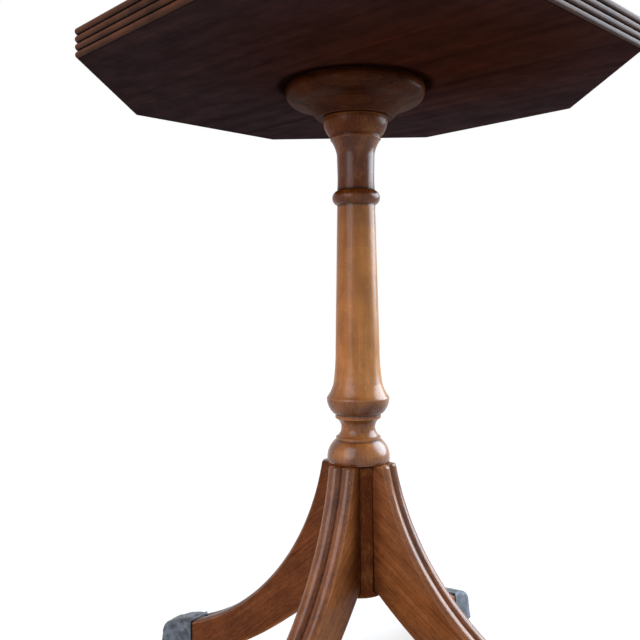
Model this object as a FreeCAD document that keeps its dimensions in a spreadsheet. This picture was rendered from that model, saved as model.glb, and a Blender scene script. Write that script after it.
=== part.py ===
# Wine table: an octagonal reeded top on a turned pedestal, with four sabre legs in metal toe caps.
# Frame: +Z up, origin on the floor under the pedestal's axis, two flats of the top square to X and two to Y.
# Lengths are millimetres and angles are degrees.
import FreeCAD, Part
import math
import os
from collections import namedtuple

import Sketcher

SIDES = 8
EDGE_REEDS = 4
LEGS = 4
BOSS_SCREWS = 4

# Driving sizes. Names that end in share hold shares of a size:
# how far a curve stands off its chord, or a place along a length.
SIZES = {
    # whole table
    "table_height": 580.0,
    "top_across": 438.0,
    "top_thickness": 24.0,
    "overrun": 4.0,
    # edge lippings of the top
    "lipping_width": 20.0,
    "edge_reed_relief": 2.2,
    "tongue_length": 6.0,
    "tongue_thickness": 6.0,
    "tongue_gap": 0.15,
    # boss under the top
    "boss_height": 28.0,
    "boss_top_radius": 60.5,
    "boss_rim_height": 16.1,
    "boss_rim_radius": 52.5,
    "boss_rim_share": 0.266,
    "boss_foot_radius": 33.6,
    "boss_cove_share": 0.08,
    # screws that hold the boss to the top
    "boss_screw_circle": 21.5,
    "boss_screw_radius": 2.0,
    "boss_screw_bite": 13.0,
    "boss_screw_head_radius": 3.8,
    "boss_screw_head_height": 2.4,
    "boss_screw_sink": 3.0,
    "boss_screw_gap": 0.1,
    # spigot of the column in the boss
    "spigot_radius": 14.0,
    "spigot_length": 26.0,
    "spigot_gap": 0.15,
    # turned column, from the collar down to the shaft
    "collar_top_radius": 28.4,
    "collar_height": 15.9,
    "collar_low_radius": 23.0,
    "collar_share": 0.108,
    "collar_fillet_radius": 22.4,
    "collar_fillet_height": 3.2,
    "cavetto_radius": 22.0,
    "cavetto_height": 13.3,
    "cavetto_share": 0.06,
    "neck_top_radius": 16.7,
    "neck_height": 17.6,
    "neck_radius": 16.3,
    "neck_flare_height": 13.7,
    "neck_flare_share": 0.012,
    "bead_top_radius": 16.75,
    "bead_height": 12.6,
    "bead_low_radius": 17.6,
    "bead_share": 0.32,
    "shaft_top_radius": 16.85,
    # turned column, from the base torus up to the shaft
    "torus_foot_radius": 27.3,
    "torus_radius": 28.1,
    "torus_crown_height": 4.0,
    "torus_foot_share": 0.09,
    "torus_height": 19.7,
    "torus_top_radius": 20.55,
    "torus_share": 0.11,
    "base_fillet_radius": 20.0,
    "base_fillet_height": 2.7,
    "waist_low_radius": 19.7,
    "waist_height": 16.5,
    "waist_top_radius": 20.1,
    "waist_share": 0.285,
    "bulb_fillet_radius": 20.55,
    "bulb_fillet_height": 4.6,
    "bulb_low_radius": 22.5,
    "bulb_height": 13.2,
    "bulb_share": 0.09,
    "bulb_radius": 28.15,
    "bulb_lip_height": 2.0,
    "bulb_lip_share": 0.107,
    "flare_low_radius": 27.1,
    "flare_height": 10.9,
    "flare_share": 0.044,
    "flare_top_radius": 22.1,
    "sweep_height": 23.4,
    "sweep_share": 0.014,
    "shaft_low_radius": 19.85,
    # core between the legs
    "core_radius": 23.7,
    "core_low": 106.5,
    "core_round": 2.0,
    "round_share": 0.207,
    # legs
    "leg_turn_angle": 58.6,
    "leg_thickness": 25.5,
    "leg_head_height": 223.0,
    "leg_head_reach": 33.0,
    "leg_head_round": 3.0,
    "crest_radius": 237.5,
    "leg_reed_relief": 3.0,
    "leg_root_height": 112.0,
    "leg_under_share": 0.06,
    "leg_reach": 237.5,
    "toe_crest_height": 41.0,
    "heel_height": 4.5,
    "foot_lap": 14.0,
    "scribe_gap": 0.1,
    # dowels between legs and core
    "dowel_radius": 5.0,
    "dowel_in_core": 14.0,
    "dowel_in_leg": 13.0,
    "dowel_gap": 0.1,
    "dowel_end_gap": 1.0,
    "dowel_low_share": 0.2,
    "dowel_high_share": 0.57,
    # toe caps
    "cap_length": 45.8,
    "cap_wall": 1.8,
    "cap_gap": 0.15,
    "cap_proud": 0.6,
    "cap_rise": 1.4,
    "cap_tongue": 9.1,
    "cap_tip_radius": 2.5,
    "cap_lean": 4.0,
    "cap_end_height": 23.0,
    "cap_shoulder_run": 17.0,
    "cap_shoulder_height": 34.4,
    "cap_shoulder_share": 0.15,
    # screws through the soles of the toe caps
    "cap_screw_place_share": 0.5,
    "cap_screw_radius": 1.6,
    "cap_screw_length": 18.0,
    "cap_screw_head_radius": 3.3,
    "cap_screw_head_height": 1.5,
    "cap_screw_recess": 0.2,
    "cap_screw_gap": 0.05,
}

# Levels and places worked out from the driving sizes.
DERIVED = {
    # top
    "side_slope": f"tan(180 deg / {SIDES})",
    "top_under": "Dims.table_height - Dims.top_thickness",
    "crest_apothem": "Dims.top_across / 2",
    "reed_root": "crest_apothem - Dims.edge_reed_relief",
    "reed_pitch": f"Dims.top_thickness / {EDGE_REEDS}",
    "panel_apothem": "crest_apothem - Dims.lipping_width",
    "tongue_tip": "panel_apothem - Dims.tongue_length",
    "tongue_level": "top_under + Dims.top_thickness / 2",
    "groove_bottom": "tongue_tip - Dims.tongue_gap",
    "mitre_in": "tongue_tip - Dims.overrun",
    "mitre_out": "crest_apothem + Dims.overrun",
    # boss and its screws
    "boss_low": "top_under - Dims.boss_height",
    "boss_rim_level": "top_under - Dims.boss_rim_height",
    "spigot_hole": "Dims.spigot_radius + Dims.spigot_gap",
    "screw_seat": "boss_low + Dims.boss_screw_sink",
    "screw_face": "screw_seat - Dims.boss_screw_head_height",
    "screw_tip": "top_under + Dims.boss_screw_bite",
    "screw_hole": "Dims.boss_screw_radius + Dims.boss_screw_gap",
    "screw_sink_radius": "Dims.boss_screw_head_radius + Dims.boss_screw_gap",
    # mouldings above the shaft
    "collar_low": "boss_low - Dims.collar_height",
    "collar_fillet_low": "collar_low - Dims.collar_fillet_height",
    "cavetto_low": "collar_fillet_low - Dims.cavetto_height",
    "neck_low": "cavetto_low - Dims.neck_height",
    "bead_top": "neck_low - Dims.neck_flare_height",
    "bead_low": "bead_top - Dims.bead_height",
    # mouldings below the shaft
    "torus_crown": "Dims.leg_head_height + Dims.torus_crown_height",
    "torus_top": "Dims.leg_head_height + Dims.torus_height",
    "base_fillet_top": "torus_top + Dims.base_fillet_height",
    "waist_top": "base_fillet_top + Dims.waist_height",
    "bulb_fillet_top": "waist_top + Dims.bulb_fillet_height",
    "bulb_edge": "bulb_fillet_top + Dims.bulb_height",
    "bulb_lip": "bulb_edge + Dims.bulb_lip_height",
    "flare_top": "bulb_lip + Dims.flare_height",
    "sweep_top": "flare_top + Dims.sweep_height",
    # leg: its crest is an arc from the head to the mouth of the toe cap
    "half_leg": "Dims.leg_thickness / 2",
    "cap_mouth": "Dims.leg_reach - Dims.cap_length",
    "crest_run": "cap_mouth - Dims.leg_head_reach",
    "crest_drop": "Dims.leg_head_height - Dims.toe_crest_height",
    "crest_chord": "sqrt(crest_run ^ 2 + crest_drop ^ 2)",
    "crest_height": "sqrt(Dims.crest_radius ^ 2 - crest_chord ^ 2 / 4)",
    "crest_x": "(Dims.leg_head_reach + cap_mouth) / 2 + crest_height * crest_drop / crest_chord",
    "crest_z": "(Dims.leg_head_height + Dims.toe_crest_height) / 2 + crest_height * crest_run / crest_chord",
    "head_z": "Dims.leg_head_height - Dims.leg_head_round",
    "head_x": "crest_x - sqrt(Dims.crest_radius ^ 2 - (crest_z - head_z) ^ 2)",
    "head_flat": "Dims.leg_head_reach - Dims.leg_head_round",
    "root_x": "Dims.core_radius / 2",
    "scribe_radius": "Dims.core_radius + Dims.scribe_gap",
    "reed_crest": "crest_x - Dims.crest_radius",
    "reed_base": "reed_crest - Dims.leg_reed_relief",
    "reed_clear": "reed_crest + Dims.overrun",
    "reed_side": "half_leg + Dims.overrun",
    "reed_sweep": "asin((crest_z - Dims.toe_crest_height) / Dims.crest_radius) / 1 deg",
    # dowels
    "glue_height": "Dims.leg_head_height - Dims.leg_root_height",
    "dowel_low": "Dims.leg_root_height + glue_height * Dims.dowel_low_share",
    "dowel_high": "Dims.leg_root_height + glue_height * Dims.dowel_high_share",
    "dowel_hole": "Dims.dowel_radius + Dims.dowel_gap",
    "dowel_in": "Dims.core_radius - Dims.dowel_in_core",
    "dowel_length": "Dims.dowel_in_core + Dims.dowel_in_leg",
    "dowel_hole_end": "Dims.core_radius + Dims.dowel_in_leg + Dims.dowel_end_gap",
    # toe cap and the foot inside it
    "half_cap": "half_leg + Dims.cap_proud",
    "half_cavity": "half_cap - Dims.cap_wall",
    "half_foot": "half_cavity - Dims.cap_gap",
    "cap_top": "Dims.toe_crest_height + Dims.cap_rise",
    "cap_end": "Dims.leg_reach - Dims.cap_lean",
    "cap_shoulder": "Dims.leg_reach - Dims.cap_shoulder_run",
    "cavity_end": "Dims.leg_reach - Dims.cap_wall",
    "cavity_lean": "cap_end - Dims.cap_wall",
    "cavity_shoulder": "Dims.cap_shoulder_height - Dims.cap_wall",
    "cavity_top": "cap_top - Dims.cap_wall",
    "cavity_out": "cap_mouth - Dims.overrun",
    "tip_x": "cap_mouth - Dims.cap_tongue",
    "tip_crest": "crest_z - sqrt(Dims.crest_radius ^ 2 - (crest_x - tip_x) ^ 2)",
    "tip_top": "tip_crest + Dims.cap_rise",
    "foot_in": "cap_mouth - Dims.foot_lap",
    "foot_low": "Dims.heel_height + Dims.foot_lap / 2",
    "foot_high": "Dims.toe_crest_height - Dims.foot_lap / 2",
    # screws in the soles
    "sole_screw_x": "cap_mouth + Dims.cap_length * Dims.cap_screw_place_share",
    "sole_screw_tip": "Dims.cap_screw_recess + Dims.cap_screw_length",
    "sole_neck": "Dims.cap_screw_recess + Dims.cap_screw_head_height",
    "sole_hole": "Dims.cap_screw_radius + Dims.cap_screw_gap",
    "sole_sink": "Dims.cap_screw_head_radius + Dims.cap_screw_gap",
    "sole_screw_end": "sole_screw_tip + Dims.cap_screw_gap",
}

# One corner of an outline, as formulas. The stretch that ends at it is straight,
# or bows to the side named, by a share of its chord or on a radius.
Corner = namedtuple("Corner", "x y side share radius", defaults=(None, None, None))
LEFT, RIGHT = 1, -1

doc = FreeCAD.newDocument("wine_table")
pieces = []


def add_sheet(name, cells, prefix):
    """Makes a spreadsheet with one named cell for each entry."""
    sheet = doc.addObject("Spreadsheet::Sheet", name)
    for row, (alias, content) in enumerate(cells.items(), start=1):
        sheet.set(f"A{row}", alias)
        sheet.set(f"B{row}", f"{prefix}{content}")
        sheet.setAlias(f"B{row}", alias)
    doc.recompute()
    return sheet


def worth(formula):
    """The value of a formula in the sheets' names, as a plain number."""
    found = derived.evalExpression(formula)
    return float(getattr(found, "Value", found))


def add_body(label, turn=None):
    """A body for one piece, turned about the table's axis by a formula in degrees."""
    body = doc.addObject("PartDesign::Body", label)
    body.Label = label
    body.Placement.Rotation = FreeCAD.Rotation(FreeCAD.Vector(0, 0, 1), 1)
    body.setExpression("Placement.Rotation.Angle", turn or "0")
    pieces.append(body)
    return body


def add_sketch(body, name, role, level=None):
    """A sketch on one of the body's own planes, raised along the plane's normal by a formula."""
    sketch = body.newObject("Sketcher::SketchObject", name)
    plane = next(part for part in body.Origin.OriginFeatures if part.Role == role)
    sketch.AttachmentSupport = (plane, "")
    sketch.MapMode = "FlatFace"
    if level:
        sketch.setExpression("AttachmentOffset.Base.z", level)
    return sketch


def bind(sketch, kind, formula, *where):
    """Adds a dimension to a sketch and ties it to a formula."""
    number = sketch.addConstraint(Sketcher.Constraint(kind, *where, worth(formula)))
    sketch.setExpression(f"Constraints[{number}]", formula)


def pin_point(sketch, geometry, end, x, y):
    """Places a point of a sketch by two formulas."""
    for kind, formula, axis in (("DistanceX", x, -2), ("DistanceY", y, -1)):
        if formula == "0":
            sketch.addConstraint(Sketcher.Constraint("PointOnObject", geometry, end, axis))
        else:
            bind(sketch, kind, formula, -1, 1, geometry, end)


def bow_radius(start, corner):
    """The formula for the radius of a stretch that stands off its chord by a share of it."""
    chord = f"sqrt((({corner.x}) - ({start.x})) ^ 2 + (({corner.y}) - ({start.y})) ^ 2)"
    return f"{chord} * (1 + 4 * ({corner.share}) ^ 2) / (8 * ({corner.share}))"


def bow_arc(first, last, side, radius):
    """An arc of under a half circle that bows to one side of its chord, drawn anticlockwise."""
    chord = last - first
    height = (radius ** 2 - (chord.Length / 2) ** 2) ** 0.5
    across = FreeCAD.Vector(-chord.y, chord.x, 0).normalize()
    centre = (first + last) / 2 - across * (side * height)
    begin, end = (last, first) if side == LEFT else (first, last)
    start_angle = math.atan2(begin.y - centre.y, begin.x - centre.x)
    end_angle = math.atan2(end.y - centre.y, end.x - centre.x)
    if end_angle < start_angle:
        end_angle += 2 * math.pi
    return Part.ArcOfCircle(Part.Circle(centre, FreeCAD.Vector(0, 0, 1), radius), start_angle, end_angle)


def add_stretch(sketch, start, corner):
    """Draws one stretch. Returns its number and the ends at which it starts and stops."""
    first = FreeCAD.Vector(worth(start.x), worth(start.y), 0)
    last = FreeCAD.Vector(worth(corner.x), worth(corner.y), 0)
    if corner.side is None:
        return sketch.addGeometry(Part.LineSegment(first, last)), 1, 2
    radius = corner.radius or bow_radius(start, corner)
    number = sketch.addGeometry(bow_arc(first, last, corner.side, worth(radius)))
    bind(sketch, "Radius", radius, number)
    return (number, 2, 1) if corner.side == LEFT else (number, 1, 2)


def draw(sketch, corners):
    """Draws a closed outline through the corners and ties each corner to its formulas."""
    stretches = [add_stretch(sketch, corners[i - 1], corner) for i, corner in enumerate(corners)]
    for i, corner in enumerate(corners):
        number, _, stop = stretches[i]
        following, begin, _ = stretches[(i + 1) % len(corners)]
        sketch.addConstraint(Sketcher.Constraint("Coincident", number, stop, following, begin))
        pin_point(sketch, number, stop, corner.x, corner.y)


def draw_circle(sketch, x, y, radius):
    """Draws a circle from formulas for its centre and radius."""
    circle = Part.Circle(FreeCAD.Vector(worth(x), worth(y), 0), FreeCAD.Vector(0, 0, 1), worth(radius))
    number = sketch.addGeometry(circle)
    bind(sketch, "Radius", radius, number)
    pin_point(sketch, number, 3, x, y)


def draw_axis(sketch, x):
    """Draws a construction line parallel to the sketch's Y axis, for a turned shape to turn about."""
    place = worth(x)
    line = Part.LineSegment(FreeCAD.Vector(place, 0, 0), FreeCAD.Vector(place, place, 0))
    number = sketch.addGeometry(line, True)
    pin_point(sketch, number, 1, x, "0")
    pin_point(sketch, number, 2, x, x)


def octagon(apothem):
    """The corners of a regular octagon with two flats square to each axis."""
    corner = f"({apothem}) * Derived.side_slope"
    signs = [(1, 1, True), (1, 1, False), (-1, 1, False), (-1, 1, True)]
    signs += [(-1, -1, True), (-1, -1, False), (1, -1, False), (1, -1, True)]
    corners = []
    for along_x, along_y, flat in signs:
        x, y = (apothem, corner) if flat else (corner, apothem)
        corners.append(Corner(f"{along_x} * ({x})", f"{along_y} * ({y})"))
    return corners


def add_feature(body, kind, name, sketch, **settings):
    """Adds a feature made from a sketch. Text settings of a length or an angle are formulas."""
    feature = body.newObject(f"PartDesign::{kind}", name)
    feature.Profile = sketch
    sketch.Visibility = False
    for setting, content in settings.items():
        if setting in ("Length", "Angle"):
            feature.setExpression(setting, content)
        else:
            setattr(feature, setting, content)
    doc.recompute()
    return feature


def turn_outline(body, name, corners):
    """Turns an outline, drawn as radius and height, about the table's axis."""
    sketch = add_sketch(body, f"{name}_outline", "XZ_Plane")
    draw(sketch, corners)
    return add_feature(body, "Revolution", name, sketch, ReferenceAxis=(sketch, ["V_Axis"]))


def repeat_round(body, name, features, sketch, count):
    """Repeats features round the axis that stands on the middle of a level sketch."""
    pattern = body.newObject("PartDesign::PolarPattern", name)
    pattern.Originals = features
    pattern.Axis = (sketch, ["N_Axis"])
    pattern.Occurrences = count
    body.Tip = pattern
    doc.recompute()
    return pattern


def make_panel():
    """The board of the top, grooved all round for the lippings and drilled for the boss screws."""
    body = add_body("top_panel")
    board = add_sketch(body, "board_outline", "XY_Plane", "Derived.top_under")
    draw(board, octagon("Derived.panel_apothem"))
    add_feature(body, "Pad", "board", board, Length="Dims.top_thickness")
    ring = add_sketch(body, "groove_outline", "XY_Plane", "Derived.tongue_level")
    draw(ring, octagon("Derived.crest_apothem"))
    draw(ring, octagon("Derived.groove_bottom"))
    width = "Dims.tongue_thickness + 2 * Dims.tongue_gap"
    add_feature(body, "Pocket", "tongue_groove", ring, Length=width, SideType="Symmetric")
    hole = add_sketch(body, "pilot_outline", "XY_Plane", "Derived.top_under")
    draw_circle(hole, "Dims.boss_screw_circle", "0", "Derived.screw_hole")
    depth = "Dims.boss_screw_bite + Dims.boss_screw_gap"
    pilot = add_feature(body, "Pocket", "pilot_hole", hole, Length=depth, Reversed=True)
    repeat_round(body, "pilot_holes", [pilot], hole, BOSS_SCREWS)


def lipping_section():
    """The section of a lipping: reeds on the outside, a tongue on the inside."""
    corners = [
        Corner("Derived.panel_apothem", "Derived.top_under"),
        Corner("Derived.reed_root", "Derived.top_under"),
    ]
    share = "Dims.edge_reed_relief / Derived.reed_pitch"
    for reed in range(1, EDGE_REEDS + 1):
        level = f"Derived.top_under + {reed} * Derived.reed_pitch"
        corners.append(Corner("Derived.reed_root", level, RIGHT, share))
    corners.append(Corner("Derived.panel_apothem", "Dims.table_height"))
    half_tongue = "Dims.tongue_thickness / 2"
    corners.append(Corner("Derived.panel_apothem", f"Derived.tongue_level + {half_tongue}"))
    corners.append(Corner("Derived.tongue_tip", f"Derived.tongue_level + {half_tongue}"))
    corners.append(Corner("Derived.tongue_tip", f"Derived.tongue_level - {half_tongue}"))
    corners.append(Corner("Derived.panel_apothem", f"Derived.tongue_level - {half_tongue}"))
    return corners


def make_lipping(number):
    """One reeded lipping along a flat of the top, mitred at both ends."""
    body = add_body(f"edge_lipping_{number}", f"{number - 1} * 360 / {SIDES}")
    section = add_sketch(body, "lipping_section", "YZ_Plane")
    draw(section, lipping_section())
    length = "2 * Derived.crest_apothem * Derived.side_slope"
    add_feature(body, "Pad", "lipping", section, Length=length, SideType="Symmetric")
    mitre = add_sketch(body, "mitre_outline", "XY_Plane", "Derived.tongue_level")
    inner = "Derived.mitre_in * Derived.side_slope"
    outer = "Derived.mitre_out * Derived.side_slope"
    for sign in (1, -1):
        corners = [
            Corner(f"{sign} * {inner}", "Derived.mitre_in"),
            Corner(f"{sign} * {outer}", "Derived.mitre_out"),
            Corner(f"{sign} * {outer}", "Derived.mitre_in"),
        ]
        draw(mitre, corners)
    depth = "Dims.top_thickness + Dims.overrun"
    add_feature(body, "Pocket", "mitres", mitre, Length=depth, SideType="Symmetric")


def make_boss():
    """The turned boss, bored for the column's spigot and counterbored for its screws."""
    body = add_body("top_boss")
    corners = [
        Corner("Derived.spigot_hole", "Derived.boss_low"),
        Corner("Dims.boss_foot_radius", "Derived.boss_low"),
        Corner("Dims.boss_rim_radius", "Derived.boss_rim_level", LEFT, "Dims.boss_cove_share"),
        Corner("Dims.boss_top_radius", "Derived.top_under", RIGHT, "Dims.boss_rim_share"),
        Corner("Derived.spigot_hole", "Derived.top_under"),
    ]
    turn_outline(body, "boss", corners)
    hole = add_sketch(body, "screw_hole_outline", "XY_Plane", "Derived.boss_low")
    draw_circle(hole, "Dims.boss_screw_circle", "0", "Derived.screw_hole")
    bore = add_feature(body, "Pocket", "screw_hole", hole, Length="Dims.boss_height", Reversed=True)
    sink = add_sketch(body, "screw_sink_outline", "XY_Plane", "Derived.boss_low")
    draw_circle(sink, "Dims.boss_screw_circle", "0", "Derived.screw_sink_radius")
    depth = "Dims.boss_screw_sink"
    counterbore = add_feature(body, "Pocket", "screw_sink", sink, Length=depth, Reversed=True)
    repeat_round(body, "screw_holes", [bore, counterbore], hole, BOSS_SCREWS)


def make_screws(label, place, corners, count, turn=None):
    """A ring of upright screws: the outline is drawn beside the table's axis and turned about the screw's."""
    body = add_body(label, turn)
    body.AllowCompound = True
    sketch = add_sketch(body, "screw_outline", "XZ_Plane")
    draw(sketch, corners)
    draw_axis(sketch, place)
    screw = add_feature(body, "Revolution", "screw", sketch, ReferenceAxis=(sketch, ["Axis0"]))
    level = add_sketch(body, "ring_plane", "XY_Plane")
    repeat_round(body, "screw_ring", [screw], level, count)


def make_boss_screws():
    """The screws through the boss into the top, hidden by the column's collar."""
    place = "Dims.boss_screw_circle"
    shank = f"{place} + Dims.boss_screw_radius"
    head = f"{place} + Dims.boss_screw_head_radius"
    corners = [
        Corner(place, "Derived.screw_face"),
        Corner(head, "Derived.screw_face"),
        Corner(head, "Derived.screw_seat"),
        Corner(shank, "Derived.screw_seat"),
        Corner(shank, "Derived.top_under"),
        Corner(place, "Derived.screw_tip"),
    ]
    make_screws("boss_screws", place, corners, BOSS_SCREWS)


def column_outline():
    """The turned outline of the column, from the spigot's top down to the core's foot and up the axis."""
    return [
        Corner("0", "Derived.boss_low + Dims.spigot_length"),
        Corner("Dims.spigot_radius", "Derived.boss_low + Dims.spigot_length"),
        Corner("Dims.spigot_radius", "Derived.boss_low"),
        Corner("Dims.collar_top_radius", "Derived.boss_low"),
        Corner("Dims.collar_low_radius", "Derived.collar_low", LEFT, "Dims.collar_share"),
        Corner("Dims.collar_fillet_radius", "Derived.collar_low"),
        Corner("Dims.collar_fillet_radius", "Derived.collar_fillet_low"),
        Corner("Dims.cavetto_radius", "Derived.collar_fillet_low"),
        Corner("Dims.neck_top_radius", "Derived.cavetto_low", RIGHT, "Dims.cavetto_share"),
        Corner("Dims.neck_radius", "Derived.neck_low"),
        Corner("Dims.bead_top_radius", "Derived.bead_top", RIGHT, "Dims.neck_flare_share"),
        Corner("Dims.bead_low_radius", "Derived.bead_low", LEFT, "Dims.bead_share"),
        Corner("Dims.shaft_top_radius", "Derived.bead_low"),
        Corner("Dims.shaft_low_radius", "Derived.sweep_top"),
        Corner("Dims.flare_top_radius", "Derived.flare_top", RIGHT, "Dims.sweep_share"),
        Corner("Dims.flare_low_radius", "Derived.bulb_lip", RIGHT, "Dims.flare_share"),
        Corner("Dims.bulb_radius", "Derived.bulb_edge", LEFT, "Dims.bulb_lip_share"),
        Corner("Dims.bulb_low_radius", "Derived.bulb_fillet_top", LEFT, "Dims.bulb_share"),
        Corner("Dims.bulb_fillet_radius", "Derived.bulb_fillet_top"),
        Corner("Dims.bulb_fillet_radius", "Derived.waist_top"),
        Corner("Dims.waist_top_radius", "Derived.waist_top"),
        Corner("Dims.waist_low_radius", "Derived.base_fillet_top", RIGHT, "Dims.waist_share"),
        Corner("Dims.base_fillet_radius", "Derived.base_fillet_top"),
        Corner("Dims.base_fillet_radius", "Derived.torus_top"),
        Corner("Dims.torus_top_radius", "Derived.torus_top"),
        Corner("Dims.torus_radius", "Derived.torus_crown", LEFT, "Dims.torus_share"),
        Corner("Dims.torus_foot_radius", "Dims.leg_head_height", LEFT, "Dims.torus_foot_share"),
        Corner("Dims.core_radius", "Dims.leg_head_height"),
        Corner("Dims.core_radius", "Dims.core_low + Dims.core_round"),
        Corner("Dims.core_radius - Dims.core_round", "Dims.core_low", LEFT, "Dims.round_share"),
        Corner("0", "Dims.core_low"),
    ]


def make_column():
    """The pedestal column in one turning, with its spigot and the dowel holes of the legs."""
    body = add_body("pedestal_column", "Dims.leg_turn_angle")
    turn_outline(body, "column", column_outline())
    holes = add_sketch(body, "dowel_hole_outline", "YZ_Plane", "Derived.dowel_in")
    for level in ("Derived.dowel_low", "Derived.dowel_high"):
        draw_circle(holes, "0", level, "Derived.dowel_hole")
    depth = "Dims.dowel_in_core + Dims.overrun"
    bored = add_feature(body, "Pocket", "dowel_holes", holes, Length=depth, Reversed=True)
    level = add_sketch(body, "ring_plane", "XY_Plane")
    repeat_round(body, "dowel_ring", [bored], level, LEGS)


def leg_outline():
    """The side outline of a leg: head, crest, the shoulder at the toe cap, and the underside to the root."""
    return [
        Corner("Derived.root_x", "Dims.leg_head_height"),
        Corner("Derived.head_flat", "Dims.leg_head_height"),
        Corner("Derived.head_x", "Derived.head_z", LEFT, "Dims.round_share"),
        Corner("Derived.cap_mouth", "Dims.toe_crest_height", RIGHT, None, "Dims.crest_radius"),
        Corner("Derived.cap_mouth", "Dims.heel_height"),
        Corner("Dims.core_radius", "Dims.leg_root_height", LEFT, "Dims.leg_under_share"),
        Corner("Derived.root_x", "Dims.leg_root_height"),
    ]


def foot_outline():
    """The side outline of the foot that fills the toe cap, lapped into the leg."""
    inset = "Dims.cap_gap"
    return [
        Corner("Derived.foot_in", "Derived.foot_low"),
        Corner("Derived.cap_mouth", "Dims.heel_height + Dims.cap_wall"),
        Corner("Derived.cap_mouth", "Dims.cap_wall"),
        Corner(f"Derived.cavity_end - {inset}", "Dims.cap_wall"),
        Corner(f"Derived.cavity_lean - {inset}", "Dims.cap_end_height"),
        Corner("Derived.cap_shoulder", f"Derived.cavity_shoulder - {inset}", RIGHT,
               "Dims.cap_shoulder_share"),
        Corner("Derived.cap_mouth", f"Derived.cavity_top - {inset}"),
        Corner("Derived.foot_in", "Derived.foot_high"),
    ]


def reed_cut():
    """The section cut away along the crest, which leaves two reeds with a groove between them."""
    share = "Dims.leg_reed_relief / Derived.half_leg"
    return [
        Corner("Derived.reed_clear", "-1 * Derived.reed_side"),
        Corner("Derived.reed_clear", "Derived.reed_side"),
        Corner("Derived.reed_base", "Derived.reed_side"),
        Corner("Derived.reed_base", "Derived.half_leg"),
        Corner("Derived.reed_base", "0", LEFT, share),
        Corner("Derived.reed_base", "-1 * Derived.half_leg", LEFT, share),
        Corner("Derived.reed_base", "-1 * Derived.reed_side"),
    ]


def leg_turn(number):
    """The formula for the angle of a leg round the table."""
    return f"Dims.leg_turn_angle + {number - 1} * 360 / {LEGS}"


def make_leg(number):
    """One sabre leg: scribed to the core, drilled for dowels, reeded on the crest, stepped for its cap."""
    body = add_body(f"leg_{number}", leg_turn(number))
    side = add_sketch(body, "leg_side", "XZ_Plane")
    draw(side, leg_outline())
    add_feature(body, "Pad", "blade", side, Length="Dims.leg_thickness", SideType="Symmetric")
    scribe = add_sketch(body, "scribe_outline", "XY_Plane", "Dims.leg_head_height + Dims.overrun")
    draw_circle(scribe, "0", "0", "Derived.scribe_radius")
    add_feature(body, "Pocket", "scribed_shoulder", scribe, Type="ThroughAll")
    crest = add_sketch(body, "reed_section", "XY_Plane", "Derived.crest_z")
    draw(crest, reed_cut())
    draw_axis(crest, "Derived.crest_x")
    axis = (crest, ["Axis0"])
    add_feature(body, "Groove", "reeds", crest, ReferenceAxis=axis, Angle="Derived.reed_sweep", Reversed=True)
    foot = add_sketch(body, "foot_side", "XZ_Plane")
    draw(foot, foot_outline())
    add_feature(body, "Pad", "foot", foot, Length="2 * Derived.half_foot", SideType="Symmetric")
    holes = add_sketch(body, "dowel_hole_outline", "YZ_Plane", "Derived.dowel_hole_end")
    for level in ("Derived.dowel_low", "Derived.dowel_high"):
        draw_circle(holes, "0", level, "Derived.dowel_hole")
    depth = "Dims.dowel_in_leg + Dims.dowel_end_gap + Dims.overrun"
    add_feature(body, "Pocket", "dowel_holes", holes, Length=depth)
    sole = add_sketch(body, "sole_pilot_outline", "XY_Plane")
    draw_circle(sole, "Derived.sole_screw_x", "0", "Derived.sole_hole")
    add_feature(body, "Pocket", "sole_pilot", sole, Length="Derived.sole_screw_end", Reversed=True)


def make_dowels():
    """The dowels that hold the legs to the core, two to a leg."""
    body = add_body("leg_dowels", "Dims.leg_turn_angle")
    body.AllowCompound = True
    ends = add_sketch(body, "dowel_outline", "YZ_Plane", "Derived.dowel_in")
    for level in ("Derived.dowel_low", "Derived.dowel_high"):
        draw_circle(ends, "0", level, "Dims.dowel_radius")
    pair = add_feature(body, "Pad", "dowel_pair", ends, Length="Derived.dowel_length")
    level = add_sketch(body, "ring_plane", "XY_Plane")
    repeat_round(body, "dowel_ring", [pair], level, LEGS)


def cap_outline():
    """The side outline of a toe cap, with the tongue that lies along the crest of the leg."""
    return [
        Corner("Derived.cap_mouth", "0"),
        Corner("Dims.leg_reach", "0"),
        Corner("Derived.cap_end", "Dims.cap_end_height"),
        Corner("Derived.cap_shoulder", "Dims.cap_shoulder_height", RIGHT, "Dims.cap_shoulder_share"),
        Corner("Derived.cap_mouth", "Derived.cap_top"),
        Corner("Derived.tip_x", "Derived.tip_top"),
        Corner("Derived.tip_x", "Derived.tip_crest"),
        Corner("Derived.cap_mouth", "Dims.toe_crest_height"),
    ]


def cavity_outline():
    """The side outline of the hollow in a toe cap, open at the mouth."""
    return [
        Corner("Derived.cavity_out", "Dims.cap_wall"),
        Corner("Derived.cavity_end", "Dims.cap_wall"),
        Corner("Derived.cavity_lean", "Dims.cap_end_height"),
        Corner("Derived.cap_shoulder", "Derived.cavity_shoulder", RIGHT, "Dims.cap_shoulder_share"),
        Corner("Derived.cap_mouth", "Derived.cavity_top"),
        Corner("Derived.cavity_out", "Derived.cavity_top"),
    ]


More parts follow.
